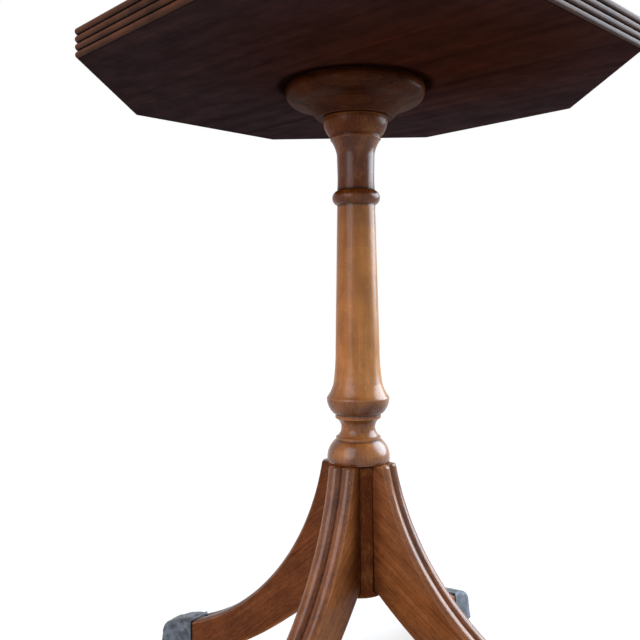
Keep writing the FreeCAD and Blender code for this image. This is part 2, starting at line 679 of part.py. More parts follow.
def make_cap(number):
    """One toe cap: a cast cup with a pointed tongue, drilled through its sole."""
    body = add_body(f"toe_cap_{number}", leg_turn(number))
    side = add_sketch(body, "cap_side", "XZ_Plane")
    draw(side, cap_outline())
    add_feature(body, "Pad", "cap", side, Length="2 * Derived.half_cap", SideType="Symmetric")
    hollow = add_sketch(body, "cavity_side", "XZ_Plane")
    draw(hollow, cavity_outline())
    add_feature(body, "Pocket", "cavity", hollow, Length="2 * Derived.half_cavity", SideType="Symmetric")
    plan = add_sketch(body, "tongue_plan", "XY_Plane")
    beyond = "Derived.half_cap + Dims.overrun"
    past_tip = "Derived.tip_x - Dims.overrun"
    for sign in (1, -1):
        corners = [
            Corner("Derived.tip_x", f"{sign} * Dims.cap_tip_radius"),
            Corner("Derived.cap_mouth", f"{sign} * Derived.half_cap"),
            Corner("Derived.cap_mouth", f"{sign} * ({beyond})"),
            Corner(past_tip, f"{sign} * ({beyond})"),
            Corner(past_tip, f"{sign} * Dims.cap_tip_radius"),
        ]
        draw(plan, corners)
    add_feature(body, "Pocket", "pointed_tongue", plan, Type="ThroughAll", Reversed=True)
    sink = add_sketch(body, "sole_sink_outline", "XZ_Plane")
    place = "Derived.sole_screw_x"
    corners = [
        Corner(place, "0"),
        Corner(f"{place} + Derived.sole_sink", "0"),
        Corner(f"{place} + Derived.sole_sink", "Dims.cap_screw_recess"),
        Corner(f"{place} + Derived.sole_hole", "Derived.sole_neck"),
        Corner(f"{place} + Derived.sole_hole", "Dims.cap_wall"),
        Corner(place, "Dims.cap_wall"),
    ]
    draw(sink, corners)
    draw_axis(sink, place)
    add_feature(body, "Groove", "sole_sink", sink, ReferenceAxis=(sink, ["Axis0"]))


def make_cap_screws():
    """The countersunk screws through the soles of the toe caps."""
    place = "Derived.sole_screw_x"
    shank = f"{place} + Dims.cap_screw_radius"
    corners = [
        Corner(place, "Dims.cap_screw_recess"),
        Corner(f"{place} + Dims.cap_screw_head_radius", "Dims.cap_screw_recess"),
        Corner(shank, "Derived.sole_neck"),
        Corner(shank, "Derived.sole_screw_tip - Dims.cap_screw_head_radius"),
        Corner(place, "Derived.sole_screw_tip"),
    ]
    make_screws("toe_cap_screws", place, corners, LEGS, "Dims.leg_turn_angle")


def check_and_write():
    """Stops on any failed object or bad solid, then writes each piece to its own file."""
    doc.recompute()
    failed = [o.Name for o in doc.Objects if "Invalid" in o.State or "Error" in o.State]
    if failed:
        raise RuntimeError(f"objects that failed: {failed}")
    for body in pieces:
        if body.Shape.isNull() or not body.Shape.isValid() or not body.Shape.Solids:
            raise RuntimeError(f"{body.Label} is not a sound solid")
    os.makedirs("parts", exist_ok=True)
    for body in pieces:
        body.Shape.exportStep(f"parts/{body.Label}.step")
        print(body.Label, len(body.Shape.Solids), "solids,", round(body.Shape.Volume), "cubic mm")


dims = add_sheet("Dims", SIZES, "")
derived = add_sheet("Derived", DERIVED, "=")
make_panel()
for side in range(1, SIDES + 1):
    make_lipping(side)
make_boss()
make_boss_screws()
make_column()
make_dowels()
for leg in range(1, LEGS + 1):
    make_leg(leg)
    make_cap(leg)
make_cap_screws()
check_and_write()
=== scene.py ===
"""Looks of an octagonal wine table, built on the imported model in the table's own frame."""
import logging
import math
from dataclasses import dataclass
from enum import Enum
from typing import Callable, Sequence

import bmesh
import bpy
from mathutils import Matrix, Vector, noise


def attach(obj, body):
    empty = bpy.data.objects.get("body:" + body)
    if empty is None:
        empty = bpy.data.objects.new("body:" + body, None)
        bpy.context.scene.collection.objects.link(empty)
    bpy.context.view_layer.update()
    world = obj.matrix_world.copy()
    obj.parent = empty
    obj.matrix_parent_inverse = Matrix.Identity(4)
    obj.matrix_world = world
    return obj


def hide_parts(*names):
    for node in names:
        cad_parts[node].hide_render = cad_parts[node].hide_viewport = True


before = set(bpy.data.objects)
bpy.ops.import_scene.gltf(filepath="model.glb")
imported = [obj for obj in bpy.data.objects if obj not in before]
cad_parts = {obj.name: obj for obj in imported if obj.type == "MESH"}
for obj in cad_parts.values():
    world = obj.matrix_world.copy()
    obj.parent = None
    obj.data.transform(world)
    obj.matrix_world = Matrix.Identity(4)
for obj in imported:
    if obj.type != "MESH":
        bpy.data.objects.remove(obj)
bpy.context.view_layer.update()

LOG = logging.getLogger("wine_table")
MM = 0.001
BODY = "root"
QUARTER = 0.2071
TINY = 1e-6
WELD = 0.002
WHITE = (1.0, 1.0, 1.0, 1.0)
CORNER_SHARE = 0.45
CORNER_STEPS = (0.0, 0.33, 0.67, 1.0)

Flat = tuple[float, float]
Colour = tuple[float, float, float]
Place = tuple[float, float, float]
Socket = bpy.types.NodeSocket


class Mark(Enum):
    """The marks that a piece's mesh carries for its finish to read."""

    GRAIN = "grain"
    HOLLOW = "hollow"
    # edge also carries a painted highlight along the legs' reed crowns
    EDGE = "edge"
    # stain also carries painted shade on the column, boss, lippings and legs
    STAIN = "stain"
    SHEEN = "sheen"


@dataclass(frozen=True)
class Turn:
    """One corner of a drawn outline, in millimetres.

    The stretch that ends here stands off its chord by the share bow of it, to the left where bow
    is positive.
    """

    x: float
    y: float
    bow: float = 0.0


def clamp(value: float, low: float = 0.0, high: float = 1.0) -> float:
    """Holds a value between two limits."""
    return max(low, min(high, value))


def trace(corners: Sequence[Turn], step: float) -> list[Flat]:
    """Follows an outline in short runs.

    Args:
        corners: the outline's corners in order.
        step: the longest run along it, in millimetres.

    Returns:
        The points along the outline.
    """
    line = [(corners[0].x, corners[0].y)]
    for start, end in zip(corners, corners[1:]):
        first, last = Vector((start.x, start.y)), Vector((end.x, end.y))
        chord = last - first
        if end.bow == 0.0:
            count = max(1, math.ceil(chord.length / step))
            line += [tuple(first + chord * (i / count)) for i in range(1, count + 1)]
            continue
        sweep = 4.0 * math.atan(2.0 * abs(end.bow))
        radius = chord.length / (2.0 * math.sin(sweep / 2.0))
        side = math.copysign(1.0, end.bow)
        across = Vector((-chord.y, chord.x)).normalized() * side
        centre = (first + last) / 2.0 + across * (abs(end.bow) * chord.length - radius)
        begin = math.atan2(first.y - centre.y, first.x - centre.x)
        count = max(3, math.ceil(radius * sweep / step))
        for i in range(1, count + 1):
            angle = begin - side * sweep * i / count
            line.append((centre.x + radius * math.cos(angle), centre.y + radius * math.sin(angle)))
    return line


def soften(line: Sequence[Flat], reach: float, limit: float = math.radians(20)) -> list[Flat]:
    """Rounds the sharp corners of a line.

    Args:
        line: the points of the line.
        reach: how far the rounding runs to each side of a corner, in millimetres.
        limit: the turn above which a corner counts as sharp.

    Returns:
        The line with its corners rounded.
    """
    soft = [line[0]]
    for before, here, after in zip(line, line[1:], line[2:]):
        back, on = Vector(before) - Vector(here), Vector(after) - Vector(here)
        if min(back.length, on.length) < TINY or math.pi - back.angle(on) < limit:
            soft.append(here)
            continue
        run = min(reach, CORNER_SHARE * back.length, CORNER_SHARE * on.length)
        enter, leave = Vector(here) + back.normalized() * run, Vector(here) + on.normalized() * run
        for share in CORNER_STEPS:
            low, high = enter.lerp(Vector(here), share), Vector(here).lerp(leave, share)
            soft.append(tuple(low.lerp(high, share)))
    soft.append(line[-1])
    return soft


def measure(line: Sequence[Flat]) -> list[float]:
    """Measures how far along a line each of its points lies.

    Args:
        line: the points of the line.

    Returns:
        The distances from its first point, in millimetres.
    """
    places = [0.0]
    for first, last in zip(line, line[1:]):
        places.append(places[-1] + (Vector(last) - Vector(first)).length)
    return places


def outward(line: Sequence[Flat], low: int, high: int) -> Vector:
    """Finds the way out of a line, to its left, over the stretch between two of its points."""
    along = Vector(line[min(high, len(line) - 1)]) - Vector(line[max(low, 0)])
    return Vector((-along.y, along.x)).normalized() if along.length > TINY else Vector((0.0, 0.0))


def relief(line: Sequence[Flat], reach: float) -> list[float]:
    """Tells how hollow a line is at each point.

    Args:
        line: the points of the line, with the open air on its left.
        reach: how far along the line the neighbours stand, in millimetres.

    Returns:
        How far each point's neighbours stand out of it: over zero in a hollow, under it on an edge.
    """
    places = measure(line)
    depths = []
    for i, point in enumerate(line):
        low = high = i
        while low > 0 and places[i] - places[low] < reach:
            low -= 1
        while high < len(line) - 1 and places[high] - places[i] < reach:
            high += 1
        middle = (Vector(line[high]) + Vector(line[low])) / 2.0
        depths.append((middle - Vector(point)).dot(outward(line, low, high)))
    return depths


class Shell:
    """Collects the points and faces of one piece, with the marks that its finish reads."""

    def __init__(self) -> None:
        """Starts an empty piece."""
        self.points: list[Vector] = []
        self.faces: list[list[int]] = []
        self.grain: list[Vector] = []
        self.marks: dict[Mark, list[float]] = {mark: [] for mark in Mark if mark is not Mark.GRAIN}

    def add(self, point: Vector, grain: Vector, hollow: float = 0.0, edge: float = 0.0,
            stain: float = 0.0, sheen: float = 1.0) -> int:
        """Adds a point.

        Args:
            point: its place in millimetres.
            grain: its place in the wood, with Z along the grain.
            hollow: how far it lies in a corner that holds dirt, 0 to 1.
            edge: how far it lies on a worn edge or a reed crown with a painted highlight, 0 to 1.
            stain: how dark old polish and painted shade make it, 0 to 1.
            sheen: how much of the polish is left on it, 0 to 1.

        Returns:
            The point's number.
        """
        self.points.append(Vector(point))
        self.grain.append(Vector(grain))
        for values, value in zip(self.marks.values(), (hollow, edge, stain, sheen)):
            values.append(clamp(value))
        return len(self.points) - 1

    def weave(self, rings: Sequence[Sequence[int]], capped: bool = True) -> None:
        """Covers rings of points with four-sided faces.

        Args:
            rings: the numbers of the points, ring by ring.
            capped: whether one more face closes each end.
        """
        for low, high in zip(rings, rings[1:]):
            for i in range(len(low)):
                j = (i + 1) % len(low)
                self.faces.append([low[i], low[j], high[j], high[i]])
        if capped:
            self.faces += [list(rings[0]), list(reversed(rings[-1]))]

    def build(self, name: str, turn: float = 0.0, sharp: float = 40.0) -> bpy.types.Object:
        """Makes the Blender object.

        Args:
            name: the piece's name.
            turn: how far it is turned about the table's axis, in degrees.
            sharp: the angle over which an edge is shaded sharp, in degrees.

        Returns:
            The new object, which rides on the table's body.
        """
        spin = Matrix.Rotation(math.radians(turn), 3, "Z")
        mesh = bpy.data.meshes.new(name)
        mesh.from_pydata([spin @ point * MM for point in self.points], [], self.faces)
        for mark, values in self.marks.items():
            mesh.attributes.new(mark.value, "FLOAT", "POINT").data.foreach_set("value", values)
        flat = [number for place in self.grain for number in place]
        grain = mesh.attributes.new(Mark.GRAIN.value, "FLOAT_VECTOR", "POINT")
        grain.data.foreach_set("vector", flat)
        work = bmesh.new()
        work.from_mesh(mesh)
        bmesh.ops.remove_doubles(work, verts=work.verts, dist=WELD * MM)
        bmesh.ops.recalc_face_normals(work, faces=work.faces)
        work.to_mesh(mesh)
        work.free()
        mesh.shade_smooth()
        mesh.set_sharp_from_angle(angle=math.radians(sharp))
        piece = bpy.data.objects.new(name, mesh)
        bpy.context.collection.objects.link(piece)
        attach(piece, BODY)
        return piece


class Nodes:
    """A short hand on one node tree."""

    def __init__(self, tree: bpy.types.NodeTree) -> None:
        """Holds a tree to work on."""
        self.tree = tree

    def add(self, kind: str, **settings: object) -> bpy.types.Node:
        """Adds a node.

        Args:
            kind: the node's type name, without its leading ShaderNode.
            settings: its properties.

        Returns:
            The new node.
        """
        node = self.tree.nodes.new(kind if kind.startswith("Node") else f"ShaderNode{kind}")
        for setting, content in settings.items():
            setattr(node, setting, content)
        return node

    def feed(self, node: bpy.types.Node, **inputs: object) -> bpy.types.Node:
        """Feeds a node's inputs from sockets or plain values.

        Args:
            node: the node to feed.
            inputs: what goes into each input, by its name with _ for spaces or by i and its number.

        Returns:
            The same node.
        """
        for name, content in inputs.items():
            key = int(name[1:]) if name[1:].isdigit() else name.replace("_", " ")
            socket = node.inputs[key]
            if isinstance(content, Socket):
                self.tree.links.new(content, socket)
            else:
                socket.default_value = content
        return node

    def sum(self, operation: str, first: object, second: object, clamped: bool = False) -> Socket:
        """Works out a sum of two sockets or numbers, held between 0 and 1 where clamped is set."""
        node = self.add("Math", operation=operation, use_clamp=clamped)
        return self.feed(node, i0=first, i1=second).outputs[0]

    def swing(self, value: object, gain: object) -> Socket:
        """Turns a value about one half into one about zero that swings as far as gain says."""
        return self.sum("MULTIPLY", self.sum("SUBTRACT", value, 0.5), gain)

    def ramp(self, value: object, low: float, high: float, to_low: float = 0.0,
             to_high: float = 1.0) -> Socket:
        """Eases a value from one range to another.

        Args:
            value: the socket to read.
            low: where the ramp starts.
            high: where the ramp ends.
            to_low: the answer at its start.
            to_high: the answer at its end.

        Returns:
            The socket that holds the answer.
        """
        node = self.add("MapRange", interpolation_type="SMOOTHSTEP")
        self.feed(node, Value=value, From_Min=low, From_Max=high, To_Min=to_low, To_Max=to_high)
        return node.outputs["Result"]

    def mix(self, share: object, first: object, second: object, blend: str = "MIX") -> Socket:
        """Mixes two colours, with share telling how much of the second there is."""
        node = self.add("Mix", data_type="RGBA", blend_type=blend)
        return self.feed(node, i0=share, i6=first, i7=second).outputs[2]

    def between(self, share: object, first: object, second: object) -> Socket:
        """Finds the value that lies a share of the way between two others."""
        node = self.add("Mix", data_type="FLOAT")
        return self.feed(node, i0=share, i2=first, i3=second).outputs[0]

    def distance(self, first: object, second: object = (0.0, 0.0, 0.0)) -> Socket:
        """Measures how far apart two places are."""
        node = self.add("VectorMath", operation="DISTANCE")
        return self.feed(node, i0=first, i1=second).outputs["Value"]

    def mark(self, mark: Mark) -> Socket:
        """Reads one of the mesh's marks as a value."""
        return self.add("Attribute", attribute_name=mark.value).outputs["Fac"]

    def stretch(self, vector: object, by: Place) -> Socket:
        """Multiplies a place along each axis."""
        return self.feed(self.add("VectorMath", operation="MULTIPLY"), i0=vector, i1=by).outputs[0]

    def cloud(self, vector: object, repeats: Place, detail: float, rough: float = 0.5,
              twist: float = 0.0) -> Socket:
        """Reads a noise that is stretched along the axes.

        Args:
            vector: the place to read it at.
            repeats: its repeats to the millimetre along each axis.
            detail: how many finer layers it has.
            rough: how strong those layers are.
            twist: how far it is twisted.

        Returns:
            The socket that holds a value about one half.
        """
        node = self.add("TexNoise")
        self.feed(node, Vector=self.stretch(vector, repeats), Scale=1.0, Detail=detail)
        self.feed(node, Roughness=rough, Distortion=twist)
        return node.outputs["Fac"]


def new_group(name: str, inputs: dict[str, str],
              outputs: dict[str, str]) -> tuple[Nodes, bpy.types.Node, bpy.types.Node]:
    """Starts a shader node group.

    Args:
        name: the group's name.
        inputs: each input's kind by its name.
        outputs: each output's kind by its name.

    Returns:
        A hand on the group's tree, its input node and its output node.
    """
    tree = bpy.data.node_groups.new(name, "ShaderNodeTree")
    for way, sockets in (("INPUT", inputs), ("OUTPUT", outputs)):
        for label, kind in sockets.items():
            tree.interface.new_socket(label, in_out=way, socket_type=f"NodeSocket{kind}")
    nodes = Nodes(tree)
    return nodes, nodes.add("NodeGroupInput"), nodes.add("NodeGroupOutput")


def grain_group() -> bpy.types.NodeTree:
    """Makes the group that draws mahogany: broad streaks, fine lines, pores and a ribbon figure.

    Returns:
        The group's tree.
    """
    nodes, take, give = new_group(
        "mahogany_grain",
        {"Place": "Vector", "Dark": "Color", "Middle": "Color", "Light": "Color", "Streak": "Float",
         "Line": "Float", "Pore": "Float", "Ribbon": "Float", "Fleck": "Float"},
        {"Color": "Color", "Gloss": "Float", "Height": "Float"},
    )
    given = take.outputs
    place = given["Place"]
    streak = nodes.cloud(place, (0.05, 0.05, 0.0022), detail=4.0, rough=0.55, twist=0.5)
    line = nodes.cloud(place, (0.6, 0.6, 0.011), detail=3.0, rough=0.6, twist=0.15)
    hair = nodes.cloud(place, (2.2, 2.2, 0.03), detail=1.0)
    pore = nodes.ramp(nodes.cloud(place, (1.0, 1.0, 0.1), detail=2.0, rough=0.6), 0.55, 0.68)
    ribbon = nodes.cloud(place, (0.035, 0.035, 0.05), detail=2.0, rough=0.5, twist=0.8)
    tone = nodes.swing(streak, nodes.sum("MULTIPLY", given["Streak"], 2.2))
    fine = nodes.swing(line, nodes.sum("MULTIPLY", given["Line"], 1.5))
    finer = nodes.swing(hair, nodes.sum("MULTIPLY", given["Line"], 0.6))
    cross = nodes.swing(ribbon, given["Ribbon"])
    tone = nodes.sum("ADD", nodes.sum("ADD", tone, fine), nodes.sum("ADD", finer, cross))
    low = nodes.ramp(tone, -0.55, 0.05)
    high = nodes.ramp(tone, 0.0, 0.6)
    colour = nodes.mix(low, given["Dark"], given["Middle"])
    colour = nodes.mix(high, colour, given["Light"])
    speck = nodes.sum("MULTIPLY", pore, given["Pore"])
    colour = nodes.mix(nodes.sum("MULTIPLY", speck, 0.75), colour, given["Dark"])
    fleck = nodes.cloud(place, (0.22, 0.22, 1.0), detail=2.0, rough=0.6, twist=0.3)
    fleck = nodes.sum("MULTIPLY", nodes.ramp(fleck, 0.58, 0.7), given["Fleck"])
    colour = nodes.mix(fleck, colour, given["Light"], "ADD")
    gloss = nodes.sum("ADD", nodes.sum("MULTIPLY", line, 0.5), nodes.sum("MULTIPLY", speck, 0.5))
    height = nodes.sum("SUBTRACT", nodes.sum("MULTIPLY", line, 0.35), speck)
    nodes.feed(give, Color=colour, Gloss=gloss, Height=height)
    return nodes.tree


def age_group() -> bpy.types.NodeTree:
    """Makes the group that ages a surface: dirt in hollows, wear on edges, stain, chips and
    blotches, along with painted shade and a painted highlight.

    Returns:
        The group's tree.
    """
    nodes, take, give = new_group(
        "age",
        {"Color": "Color", "Place": "Vector", "Hollow": "Float", "Edge": "Float", "Stain": "Float",
         "Dirt": "Float", "Wear": "Float", "Chips": "Float", "Stain Color": "Color",
         "Dirt Color": "Color", "Worn Color": "Color"},
        {"Color": "Color", "Dull": "Float"},
    )
    given = take.outputs
    place, stain = given["Place"], given["Stain"]
    blotch = nodes.cloud(place, (0.05, 0.05, 0.03), detail=3.0, rough=0.6)
    grit = nodes.cloud(place, (0.5, 0.5, 0.2), detail=3.0, rough=0.65)
    dirt = nodes.sum("ADD", given["Hollow"], nodes.swing(grit, 0.7))
    dirt = nodes.sum("MULTIPLY", nodes.ramp(dirt, 0.2, 0.85), given["Dirt"])
    wear = nodes.sum("ADD", given["Edge"], nodes.swing(blotch, 1.1))
    wear = nodes.sum("MULTIPLY", nodes.ramp(wear, 0.45, 1.0), given["Wear"])
    cell = nodes.add("TexVoronoi", feature="F1")
    nodes.feed(cell, Vector=nodes.stretch(place, (0.055, 0.055, 0.04)), Scale=1.0)
    spot = nodes.sum("ADD", cell.outputs["Distance"], nodes.sum("MULTIPLY", grit, 0.05))
    chip = nodes.sum("MULTIPLY", nodes.ramp(spot, 0.062, 0.045), given["Chips"])
    tint = nodes.ramp(blotch, 0.3, 0.7, 0.8, 1.14)
    colour = nodes.mix(1.0, given["Color"], tint, "MULTIPLY")
    deep = nodes.sum("ADD", stain, nodes.swing(grit, stain), True)
    colour = nodes.mix(deep, colour, nodes.mix(1.0, colour, given["Stain Color"], "MULTIPLY"))
    colour = nodes.mix(wear, colour, given["Worn Color"])
    colour = nodes.mix(dirt, colour, given["Dirt Color"])
    colour = nodes.mix(chip, colour, given["Worn Color"])
    dull = nodes.sum("ADD", nodes.sum("MULTIPLY", dirt, 0.35), nodes.sum("MULTIPLY", blotch, 0.16))
    nodes.feed(give, Color=colour, Dull=dull)
    return nodes.tree


def new_material(name: str) -> tuple[bpy.types.Material, Nodes, bpy.types.Node]:
    """Starts a material.

    Args:
        name: its name.

    Returns:
        The material, a hand on its tree and its shader.
    """
    made = bpy.data.materials.new(name)
    made.use_nodes = True
    return made, Nodes(made.node_tree), made.node_tree.nodes["Principled BSDF"]


def millimetres(nodes: Nodes) -> Socket:
    """Reads the place in the table's frame, in millimetres."""
    return nodes.stretch(nodes.add("TexCoord").outputs["Object"], (1.0 / MM,) * 3)


class Groups:
    """The shader node groups that the finishes share, each made once."""

    def __init__(self) -> None:
        """Makes the groups."""
        self.grain = grain_group()
        self.age = age_group()


@dataclass(frozen=True)
class WoodFinish:
    """One stained and lacquered mahogany."""

    name: str
    dark: Colour
    middle: Colour
    light: Colour
    fineness: float = 1.0
    streak: float = 1.0
    line: float = 0.7
    pore: float = 0.6
    ribbon: float = 0.3
    rough: float = 0.3
    coat: float = 0.25
    coat_rough: float = 0.12
    shine: float = 0.4
    dirt: float = 0.8
    wear: float = 0.5
    chips: float = 0.0
    fleck: float = 0.0
    # The worn colour also paints a painted highlight on the legs' reed crowns, the dirt colour the
    # painted shade round the boss, and the old polish colour painted shade.
    worn: Colour = (0.45, 0.24, 0.13)
    grime_and_shade: Colour = (0.01, 0.005, 0.004)
    old_polish_and_shade: Colour = (0.28, 0.165, 0.11)
    bump: float = 0.12
    bump_depth: float = 0.0004
    gloss_swing: float = 0.18
    gloss_drop: float = 0.06
    board_turn: float | None = None
    # ring: a band of painted shade on the panel round the boss, fed in as a hollow, and its width
    ring: float = 0.0
    shade_ring_width: float = 17.0
    rubbed: bool = False
    rubbed_from: float = 0.3
    rubbed_pore: float = 0.3
    warm: Colour | None = None
    warm_place: Place = (55.0, -85.0, 556.0)
    warm_reach: Flat = (235.0, 40.0)
    under: "WoodFinish | None" = None
    under_facing: Flat = (-0.8, -0.95)

    def place(self, nodes: Nodes) -> Socket:
        """Reads the place in the wood: the mesh's mark, or the table's frame turned to the grain.

        Args:
            nodes: the material's tree.

        Returns:
            The socket that holds the place in millimetres, with Z along the grain.
        """
        if self.board_turn is None:
            return nodes.add("Attribute", attribute_name=Mark.GRAIN.value).outputs["Vector"]
        turn = (0.0, math.radians(90.0), math.radians(self.board_turn))
        lay = nodes.add("VectorRotate", rotation_type="EULER_XYZ", invert=True)
        nodes.feed(lay, Vector=millimetres(nodes), Rotation=turn)
        return lay.outputs[0]

    def joint(self, nodes: Nodes) -> Socket:
        """Finds the hollows that hold dirt, or with a ring set a painted shade band round a turned
        piece.

        Args:
            nodes: the material's tree.

        Returns:
            The socket that is 1 in a hollow and in the painted shade band.
        """
        if self.ring == 0.0:
            return nodes.mark(Mark.HOLLOW)
        flat = nodes.stretch(millimetres(nodes), (1.0, 1.0, 0.0))
        return nodes.ramp(nodes.distance(flat), self.ring + self.shade_ring_width, self.ring)

    def surface(self, nodes: Nodes, groups: Groups) -> dict[str, Socket]:
        """Draws the finished wood.

        Args:
            nodes: the material's tree.
            groups: the shared node groups.

        Returns:
            The sockets that hold its colour, its roughness and its height.
        """
        place = self.place(nodes)
        grain = nodes.add("Group", node_tree=groups.grain)
        nodes.feed(grain, Place=nodes.stretch(place, (self.fineness,) * 3), Streak=self.streak)
        nodes.feed(grain, Line=self.line, Pore=self.pore, Ribbon=self.ribbon, Fleck=self.fleck)
        nodes.feed(grain, Dark=(*self.dark, 1), Middle=(*self.middle, 1), Light=(*self.light, 1))
        if self.rubbed:
            least = self.rubbed_pore * self.pore
            pore = nodes.ramp(nodes.mark(Mark.SHEEN), self.rubbed_from, 1.0, self.pore, least)
            nodes.feed(grain, Pore=pore)
        age = nodes.add("Group", node_tree=groups.age)
        nodes.feed(age, Color=grain.outputs["Color"], Place=place, Hollow=self.joint(nodes))
        nodes.feed(age, Edge=nodes.mark(Mark.EDGE), Stain=nodes.mark(Mark.STAIN), Dirt=self.dirt)
        nodes.feed(age, Wear=self.wear, Chips=self.chips, Worn_Color=(*self.worn, 1))
        nodes.feed(age, Dirt_Color=(*self.grime_and_shade, 1), Stain_Color=(*self.old_polish_and_shade, 1))
        gloss = nodes.sum("MULTIPLY", grain.outputs["Gloss"], self.gloss_swing)
        rough = nodes.sum("ADD", gloss, self.rough - self.gloss_drop)
        rough = nodes.sum("ADD", rough, age.outputs["Dull"], True)
        colour = age.outputs["Color"]
        if self.warm is not None:
            near = nodes.ramp(nodes.distance(millimetres(nodes), self.warm_place), *self.warm_reach)
            colour = nodes.mix(near, colour, nodes.mix(1.0, colour, (*self.warm, 1), "MULTIPLY"))
        return {"colour": colour, "rough": rough, "height": grain.outputs["Height"]}

    def material(self, groups: Groups) -> bpy.types.Material:
        """Makes the material, with another wood on faces that look down where the finish names one.

        Args:
            groups: the shared node groups.

        Returns:
            The new material.
        """
        made, nodes, shader = new_material(self.name)
        drawn = self.surface(nodes, groups)
        nodes.feed(shader, Specular_IOR_Level=self.shine)
        nodes.feed(shader, Coat_Weight=self.coat, Coat_Roughness=self.coat_rough)
        if self.under is not None:
            below = self.under.surface(nodes, groups)
            facing = nodes.add("SeparateXYZ")
            nodes.feed(facing, Vector=nodes.add("NewGeometry").outputs["True Normal"])
            down = nodes.ramp(facing.outputs["Z"], *self.under_facing)
            drawn["colour"] = nodes.mix(down, drawn["colour"], below["colour"])
            for part in ("rough", "height"):
                drawn[part] = nodes.between(down, drawn[part], below[part])
            nodes.feed(shader, Coat_Weight=nodes.between(down, self.coat, self.under.coat))
        if self.rubbed:
            nodes.feed(shader, Coat_Weight=nodes.sum("MULTIPLY", nodes.mark(Mark.SHEEN), self.coat))
        bump = nodes.add("Bump")
        nodes.feed(bump, Strength=self.bump, Distance=self.bump_depth, Height=drawn["height"])
        nodes.feed(shader, Base_Color=drawn["colour"], Roughness=drawn["rough"])
        nodes.feed(shader, Normal=bump.outputs[0])
        return made


@dataclass(frozen=True)
class MetalFinish:
    """One dull cast metal, mottled with tarnish."""

    name: str
    bright: Colour
    dull: Colour
    dark: Colour
    bloom: Colour
    rough: float = 0.42
    gloss_swing: float = 0.3
    gloss_drop: float = 0.12
    metal: float = 1.0
    dirt: float = 0.8
    wear: float = 0.5
    most_bloom: float = 0.7
    most_dark: float = 0.75
    bump: float = 0.35
    bump_depth: float = 0.0006

    def material(self, groups: Groups) -> bpy.types.Material:
        """Makes the material.

        Args:
            groups: the shared node groups.

        Returns:
            The new material.
        """
        made, nodes, shader = new_material(self.name)
        place = millimetres(nodes)
        broad = nodes.cloud(place, (0.09, 0.09, 0.09), detail=4.0, rough=0.6, twist=0.4)
        spot = nodes.cloud(place, (0.34, 0.34, 0.34), detail=4.0, rough=0.65)
        tint = nodes.cloud(place, (0.06, 0.06, 0.1), detail=3.0, rough=0.6)
        colour = nodes.mix(nodes.ramp(broad, 0.36, 0.62), (*self.dull, 1), (*self.bright, 1))
        bloomed = nodes.ramp(tint, 0.5, 0.68, 0.0, self.most_bloom)
        colour = nodes.mix(bloomed, colour, (*self.bloom, 1))
        darkened = nodes.ramp(spot, 0.56, 0.7, 0.0, self.most_dark)
        colour = nodes.mix(darkened, colour, (*self.dark, 1))
        age = nodes.add("Group", node_tree=groups.age)
        nodes.feed(age, Color=colour, Place=place, Dirt=self.dirt, Wear=self.wear, Chips=0.0)
        nodes.feed(age, Hollow=nodes.mark(Mark.HOLLOW), Edge=nodes.mark(Mark.EDGE))
        nodes.feed(age, Worn_Color=(*self.bright, 1), Dirt_Color=(*self.dark, 1))
        gloss = nodes.sum("MULTIPLY", spot, self.gloss_swing)
        rough = nodes.sum("ADD", gloss, self.rough - self.gloss_drop)
        bump = nodes.add("Bump")
        height = nodes.sum("ADD", spot, broad)
        nodes.feed(bump, Strength=self.bump, Distance=self.bump_depth, Height=height)
        nodes.feed(shader, Base_Color=age.outputs["Color"], Metallic=self.metal)
        nodes.feed(shader, Roughness=rough, Normal=bump.outputs[0])
        return made


Finish = WoodFinish | MetalFinish

# Its purple cast stands partly for a painted reflection of the pale floor; its ring is painted
# shade round the boss, and warm makes it more orange towards the front edge.
UNDER_WOOD = WoodFinish(
    "under_mahogany", (0.042, 0.0255, 0.029), (0.075, 0.042, 0.044), (0.12, 0.056, 0.046),
    streak=0.75, line=0.4, pore=0.15, ribbon=0.25, rough=0.6, coat=0.0, dirt=0.85, wear=0.0,
    board_turn=-43.0, ring=60.5, warm=(0.95, 0.47, 0.25))
TOP_WOOD = WoodFinish(
    "top_mahogany", (0.06, 0.018, 0.008), (0.16, 0.052, 0.02), (0.27, 0.1, 0.038),
    streak=1.0, line=0.7, pore=0.5, ribbon=0.5, rough=0.35, coat=0.42, coat_rough=0.13, shine=0.0,
    wear=0.1, board_turn=-43.0, under=UNDER_WOOD)
EDGE_WOOD = WoodFinish(
    "edge_mahogany", (0.018, 0.0052, 0.0025), (0.05, 0.0145, 0.0062), (0.094, 0.032, 0.0125),
    streak=0.7, rough=0.35, coat=0.22, coat_rough=0.28, shine=0.0, dirt=0.95,
    wear=0.45, worn=(0.15, 0.055, 0.024), under=UNDER_WOOD)
BOSS_WOOD = WoodFinish(
    "boss_mahogany", (0.031, 0.0086, 0.0043), (0.088, 0.0232, 0.008), (0.158, 0.048, 0.0152),
    streak=0.9, rough=0.45, coat=0.1, coat_rough=0.3, shine=0.0, dirt=0.9,
    wear=0.25, worn=(0.24, 0.11, 0.06))
COLUMN_WOOD = WoodFinish(
    "column_mahogany", (0.26, 0.088, 0.019), (0.47, 0.182, 0.046), (0.61, 0.262, 0.083),
    streak=0.8, line=0.4, pore=0.2, ribbon=0.45, fleck=0.17, rough=0.42, coat=0.95, coat_rough=0.26,
    shine=0.02, dirt=0.7, wear=0.3, worn=(0.5, 0.22, 0.08), rubbed=True)
